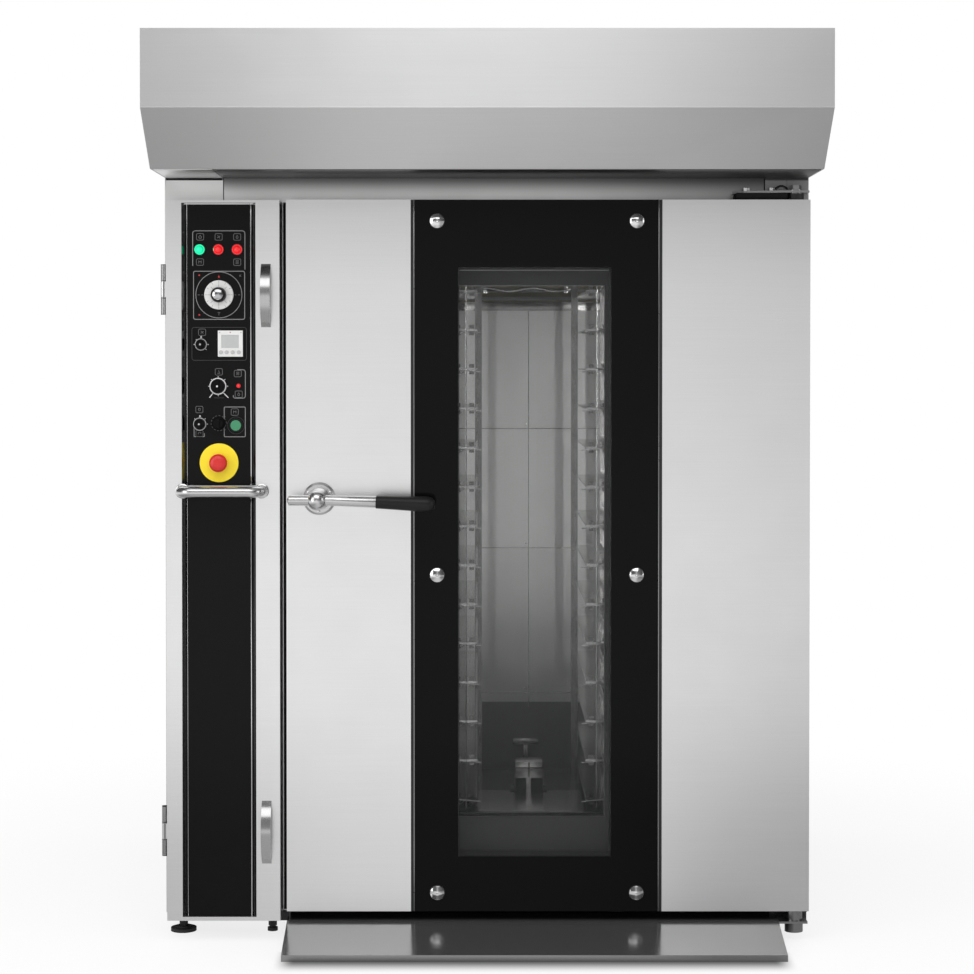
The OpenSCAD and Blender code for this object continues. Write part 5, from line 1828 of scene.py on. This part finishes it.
    def signs(self) -> None:
        """Pictograms beside the lamps and the dials."""
        ink = Print(self._face(), self.sign_line)
        for x, z, sign in (
            (-658.9, 1625.2, Sign.FLAME), (-616.3, 1625.0, Sign.FAN),
            (-573.8, 1625.0, Sign.DROP), (-659.3, 1567.4, Sign.RACK),
            (-573.8, 1567.0, Sign.WAVES), (-654.7, 1406.0, Sign.FAN),
            (-616.5, 1315.1, Sign.CLOCK), (-573.0, 1311.2, Sign.WAVES),
            (-570.8, 1263.6, Sign.DROP), (-661.4, 1228.4, Sign.LIGHT),
            (-661.2, 1173.2, Sign.TURN), (-580.0, 1222.7, Sign.RACK),
        ):
            ink.sign((x * MM, z * MM), sign)
        ink.piece("panel_signs", Body.COLUMN, self.finishes.soft_ink, Slot.WHITE_PLASTIC)

    def knob_rings(self) -> None:
        """Pale rings on the shoulders of the knobs, and their centre marks."""
        shop = self.finishes
        for node, body, finish in (
            ("fan_knob", Body.FAN, shop.key),
            ("steam_knob", Body.STEAM, shop.bright_ink),
            ("light_knob", Body.LIGHT, shop.key),
        ):
            low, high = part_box(node)
            x, z = self._centre(node)
            shoulder = self._face() - 6.6 * MM
            profile = scaled(self.knob_ring, (high.x - low.x) / 2, MM)
            ring = Stock().lathe((x, shoulder, z), (0, -1, 0), profile, 48)
            ring.piece(f"{node}_ring", body, finish, Slot.WHITE_PLASTIC)
            mark = Stock().lathe((x, low.y, z), (0, -1, 0), scaled(self.knob_mark, MM), 16)
            mark.piece(f"{node}_mark", body, finish, Slot.WHITE_PLASTIC)

    def thermostat(self) -> None:
        """Dark collar and turned dome of the thermostat."""
        x, z = self._centre("thermostat_knob")
        foot = (x, self._face() - 0.3 * MM, z)
        ring = Stock().lathe(foot, (0, -1, 0), scaled(self.collar, MM), 48)
        ring.piece("thermostat_collar", Body.THERMOSTAT, self.finishes.black, Slot.BLACK_PLASTIC)
        cap = Stock().lathe(foot, (0, -1, 0), scaled(self.dome, MM), 48)
        cap.piece("thermostat_dome", Body.THERMOSTAT, self.finishes.dome, Slot.POLISHED)

    def timer(self) -> None:
        """Grey screen, round keys and corner screws of the timer."""
        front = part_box("timer_display")[0].y
        x, z = self._centre("timer_display")
        outline = rounded((x - 0.5 * MM, z + 5 * MM), 39.6 * MM, 29.6 * MM, 1 * MM)
        screen = Stock().sheet(outline, 0.6 * MM, front + 2.4 * MM)
        screen.piece("timer_screen", Body.COLUMN, self.finishes.grey, Slot.WHITE_PLASTIC)
        keys = Stock()
        for offset in self.key_places:
            foot = (x + offset * MM, front, z - 20 * MM)
            keys.lathe(foot, (0, -1, 0), scaled(self.key, MM), 24)
        keys.piece("timer_keys", Body.COLUMN, self.finishes.key, Slot.WHITE_PLASTIC)
        marks = Stock()
        for side in (-1, 1):
            foot = near((x, front, z), side * 24.5, 1.5, 25.5)
            marks.screw(foot, (0, -1, 0), 1.5 * MM)
        marks.piece("timer_screws", Body.COLUMN, self.finishes.key, Slot.WHITE_PLASTIC)
        red = Print(front + 1.5 * MM)
        red.dot((x, z + 26 * MM), 1.3 * MM)
        red.piece("timer_mark", Body.COLUMN, self.finishes.red_ink, Slot.RED)

    def bezels(self) -> None:
        """Black rings round the lamps, the small lamp and the start button."""
        places = [((x * MM, self.lamp_height), 12.0, 13.6, 2.2) for x in self.lamp_places]
        places.append((self.small_lamp, 4.7, 6.0, 1.5))
        places.append((self._centre("start_button"), 12.3, 16.5, 2.5))
        rings = Stock()
        for (x, z), inner, outer, rise in places:
            shoulder = [(outer, rise * 0.6), (outer - 0.6, rise)]
            profile = [(inner, 0.0), (outer, 0.0), *shoulder, (inner, rise)]
            rings.lathe((x, self._face(), z), (0, -1, 0), scaled(profile, MM), 40)
        rings.piece("lamp_bezels", Body.COLUMN, self.finishes.black, Slot.BLACK_PLASTIC)

    def handle_plates(self) -> None:
        """Small plates under the ends of the handles."""
        low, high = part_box("guard_handle")
        z = (low.z + high.z) / 2
        plates = Stock()
        for x in (low.x + 12.5 * MM, high.x - 12.5 * MM):
            plates.lathe((x, high.y, z), (0, -1, 0), scaled(self.handle_plate, MM), 40)
        plates.piece("handle_plates", Body.COLUMN, self.finishes.satin, Slot.POLISHED)

    def hinge_washers(self) -> None:
        """Middle knuckles of the column's hinges and the dark washers between all of them."""
        low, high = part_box("control_hinges")
        knuckle = (low.x + 6.5 * MM, low.y + 6.5 * MM)
        hinges = (high.z - self.hinge_middle, low.z + self.hinge_middle)
        washers = Stock()
        for middle in hinges:
            for step in self.washer_steps:
                z = middle + step * MM
                washers.rod((*knuckle, z - 0.8 * MM), (*knuckle, z + 0.8 * MM), 6.9 * MM, 20)
        washers.piece("hinge_washers", Body.OVEN, self.finishes.black, Slot.BLACK_PLASTIC)
        knuckles = Stock()
        for middle in hinges:
            knuckles.rod((*knuckle, middle - 18 * MM), (*knuckle, middle + 18 * MM), 6.8 * MM, 24)
        knuckles.piece("hinge_knuckles", Body.COLUMN, self.finishes.hinge, Slot.POLISHED)

    def build(self, frame: Mapping[str, object]) -> None:
        """Dresses and trims the column.
        """
        self.dress(frame)
        self.trims()
        self.frames()
        self.scales()
        self.signs()
        self.knob_rings()
        self.thermostat()
        self.timer()
        self.bezels()
        self.handle_plates()
        self.hinge_washers()


@dataclass
class Chamber:
    """Baking chamber, rack and drive."""

    finishes: Finishes
    dark_below: float = 0.413
    joints: tuple[float, ...] = (0.439, 0.833, 1.158)
    tiers: int = 15
    pitch: float = 94.3 * MM
    wall_recess: float = 14 * MM
    joint_screws: int = 7
    grille_foot: float = 0.222
    grille_inset: float = 0.199
    pipe_drop: float = 0.165
    pipe_half: float = 0.14
    bracket_height: float = 185 * MM
    ledge_span: float = 63 * MM
    hub_front: float = 0.026
    hub_back: float = 0.095
    pan_top: float = 0.250
    hub_foot: float = 0.2868
    hub_top: float = 0.327
    bearing_bolt_circle: float = 62 * MM
    ribs: int = 10
    rib: tuple[Point, ...] = ((37.6, 0.0), (43.0, 0.5), (43.0, 3.0), (37.6, 3.5))
    rib_pitch: float = 13 * MM

    def dress(self, frame: Mapping[str, object]) -> None:
        """Gives the chamber's solids their finishes.
        """
        shop = self.finishes
        back = BrushedSteel(
            "back_wall_sheet", (0.64, 0.64, 0.635), 0.64, Grain.ALONG_X, 0.05, self.dark_below
        )
        dress(("chamber_back_wall",), back.make(), frame)
        dress(("chamber_liner", "chamber_floor"), shop.liner, frame)
        dress(("steam_generator", "fan_impeller"), shop.liner, frame)
        dress(("heater_bank",), shop.heater, frame)
        dress(("fan_motor", "gear_motor"), shop.motor, frame)
        dress(("shaft_bearing", "rack_shaft", "drive_pinion"), shop.dark_steel, frame)
        dress(("rack_ledges", "left_castor_fork", "right_castor_fork"), shop.rack, frame)
        # Painted shade: the rack posts get the dark copy of the rack steel.
        dress(("rack_frame",), shop.shaded_post_and_joints, frame)
        wheels = [f"{end}_{side}_wheel" for end in ("front", "rear") for side in ("left", "right")]
        dress(wheels, shop.wheel, frame)

    def wall_screws(self) -> None:
        """Small screws along the joints of the back wall."""
        low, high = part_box("chamber_back_wall")
        face = low.y + self.wall_recess
        screws = Stock()
        for z in self.joints:
            for i in range(self.joint_screws):
                x = low.x + 0.07 + (high.x - low.x - 0.14) * i / (self.joint_screws - 1)
                screws.screw((x, face, z + 12 * MM), (0, -1, 0), 3 * MM)
        screws.piece("wall_screws", Body.OVEN, self.finishes.polished, Slot.POLISHED)

    def wall_joints(self) -> None:
        """Dark joints of the back wall's panels, the lip under its grille and its stop bracket."""
        low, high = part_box("chamber_back_wall")
        face = low.y + self.wall_recess
        middle = (low.x + high.x) / 2
        seams = Stock()
        for z in self.joints:
            left, right = (low.x, face, z), (high.x, face, z)
            seams.block(near(left, 40, -0.4, -0.9), near(right, -40, 1, 0.9))
        foot, top = (middle, face, 0.40), (middle, face, high.z)
        seams.block(near(foot, 6.9, -0.5, 0), near(top, 9.1, 1, -210))
        seams.piece("wall_joints", Body.OVEN, self.finishes.shaded_post_and_joints, Slot.STAINLESS)
        under, over = high.z - self.grille_foot, high.z - self.grille_inset
        lip = Stock().block(
            near((low.x, face, under), 50, -2, 0), near((high.x, face, over), -50, 1, 0), 0.5 * MM
        )
        lip.piece("grille_lip", Body.OVEN, self.finishes.shaded_post_and_joints, Slot.STAINLESS)
        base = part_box("rack_frame")[0].z + self.bracket_height
        wall, foot = (middle, low.y, base), (middle, face, base)
        bracket = Stock().block(near(wall, -34.5, -0.5, 0), near(foot, 34.5, 0, 17), 1 * MM)
        bracket.block(near(wall, -6.5, 5, -60), near(foot, 6.5, 0, 0), 1 * MM)
        bracket.piece("stop_plate", Body.OVEN, self.finishes.satin, Slot.POLISHED)

    def spray_pipe(self) -> None:
        """Slightly wavy steam pipe in front of the upper grille, with its two clips."""
        low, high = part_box("chamber_back_wall")
        middle = (low.x + high.x) / 2
        y, z = low.y + 6 * MM, high.z - self.pipe_drop
        first, step = middle - self.pipe_half, self.pipe_half / 6
        waves = [z + 5 * MM * math.sin(i * 1.15) for i in range(13)]
        pipe = Stock().wire([(first + step * i, y, wave) for i, wave in enumerate(waves)], 4 * MM)
        for x in (middle - 0.11, middle + 0.11):
            pipe.block((x - 5 * MM, y, z - 10 * MM), (x + 5 * MM, y + 10 * MM, z + 10 * MM), 1 * MM)
        pipe.piece("spray_pipe", Body.OVEN, self.finishes.satin, Slot.POLISHED)

    def rack_wires(self) -> None:
        """Guide wires, clips and an upright wire at the front of the ledges."""
        low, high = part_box("rack_ledges")
        wires, clips, lips = Stock(), Stock(), Stock()
        front = low.y
        for side, outer in ((1, low.x), (-1, high.x)):
            inner, centre = outer + side * self.ledge_span, outer + side * self.ledge_span * 0.6
            foot, top = (centre, front, low.z), (centre, front, high.z)
            wires.rod(near(foot, 0, -1.2, -20), near(top, 0, -1.2, 0), 1.6 * MM, 8)
            for i in range(self.tiers):
                z = low.z + self.pitch * i
                start, middle, end = (outer, front, z), (centre, front, z), (inner, front, z)
                wires.rod(near(end, 0, 0, 1), near((inner, high.y, z), 0, 0, 1), 1.8 * MM, 8)
                wires.rod(near(start, 0, -1, 1), near(end, side * 11, -1, -5), 1.5 * MM, 8)
                wires.rod(near(start, side * 4, -1, -24), near(middle, 0, -1, 0), 1.2 * MM, 8)
                first, last = sorted((outer + side * 3 * MM, inner))
                lips.block(near((first, front, z), 0, -1.4, -1), near((last, front, z), 0, 1, 3))
                for x in (side * 18, side * 51):
                    for under, over in ((5, 14), (-11, -2)):
                        clips.block(near(start, x - 6, -1.6, under), near(start, x + 6, 3, over))
        wires.piece("rack_wires", Body.RACK, self.finishes.satin, Slot.POLISHED)
        lips.piece("ledge_lips", Body.RACK, self.finishes.polished, Slot.POLISHED)
        clips.piece("ledge_clips", Body.RACK, self.finishes.shaded_post_and_joints, Slot.STAINLESS)

    def rack_hub(self) -> None:
        """Clamp block, dark socket and flange round the hub of the rack's pan."""
        low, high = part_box("rack_frame")
        middle = (low.x + high.x) / 2
        front, pan, foot = self.hub_front, self.pan_top, self.hub_foot
        base, seat = (middle, front, pan), (middle, front, foot)
        back = (middle, self.hub_back, self.hub_top)
        block = Stock().block(near(seat, -35, -4, 0), near(back, 34, 0, 0), 1.5 * MM)
        block.block(near(base, -8, -7.5, 0), near(seat, 6, 0, 0), 1 * MM)
        block.block(near((low.x, low.y, pan), 90, 12, 0), near((high.x, front, pan), -90, 20, 0.8))
        block.piece("hub_block", Body.RACK, self.finishes.rack, Slot.STAINLESS)
        rear, edge = (middle, self.hub_back, foot), (middle, self.hub_back, pan)
        socket = Stock().block(near(base, -34.5, -5, 0), near(rear, 35, -1, 0), 3 * MM)
        socket.block(near(base, -46, -3, 0), near(edge, 46, 1, 3), 1 * MM)
        for first, last, under, over in ((-35, 34, 60.5, 63), (-1.5, 1.5, 38, 76)):
            socket.block(near(base, first, -4.6, under), near(base, last, -3, over))
        socket.piece("hub_socket", Body.RACK, self.finishes.dark_steel, Slot.BLACK_PLASTIC)

    def drive_bolts(self) -> None:
        """Bolts of the shaft bearing and cooling ribs of the gear motor."""
        low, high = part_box("shaft_bearing")
        centre = ((low.x + high.x) / 2, (low.y + high.y) / 2)
        bolts = Stock()
        for x, y in circle(centre, self.bearing_bolt_circle, 4, 45.0):
            bolts.rod((x, y, low.z + 12 * MM), (x, y, low.z + 18 * MM), 9 * MM, 6)
        bolts.piece("bearing_bolts", Body.OVEN, self.finishes.polished, Slot.POLISHED)
        low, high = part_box("gear_motor")
        y, z = (low.y + high.y) / 2, high.z - 47 * MM
        ribs = Stock()
        for i in range(self.ribs):
            x = high.x - 0.155 + i * self.rib_pitch
            ribs.lathe((x, y, z), (1, 0, 0), scaled(self.rib, MM), 28)
        ribs.piece("motor_ribs", Body.OVEN, self.finishes.motor, Slot.MOTOR)

    def build(self, frame: Mapping[str, object]) -> None:
        """Dresses the chamber and adds its fasteners.
        """
        self.dress(frame)
        self.wall_screws()
        self.wall_joints()
        self.spray_pipe()
        self.rack_wires()
        self.rack_hub()
        self.drive_bolts()


def main() -> None:
    """Loads the frame, builds every class in order and notes the sizes."""
    logging.basicConfig(level=logging.INFO, format="%(message)s")
    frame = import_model()
    Studio().build()
    finishes = Finishes()
    for kind in (Casing, MainDoor, ControlColumn, Chamber):
        assembly = kind(finishes)
        assembly.build(frame)
        LOG.info("built %s", type(assembly).__name__)


if __name__ == "__main__":
    main()
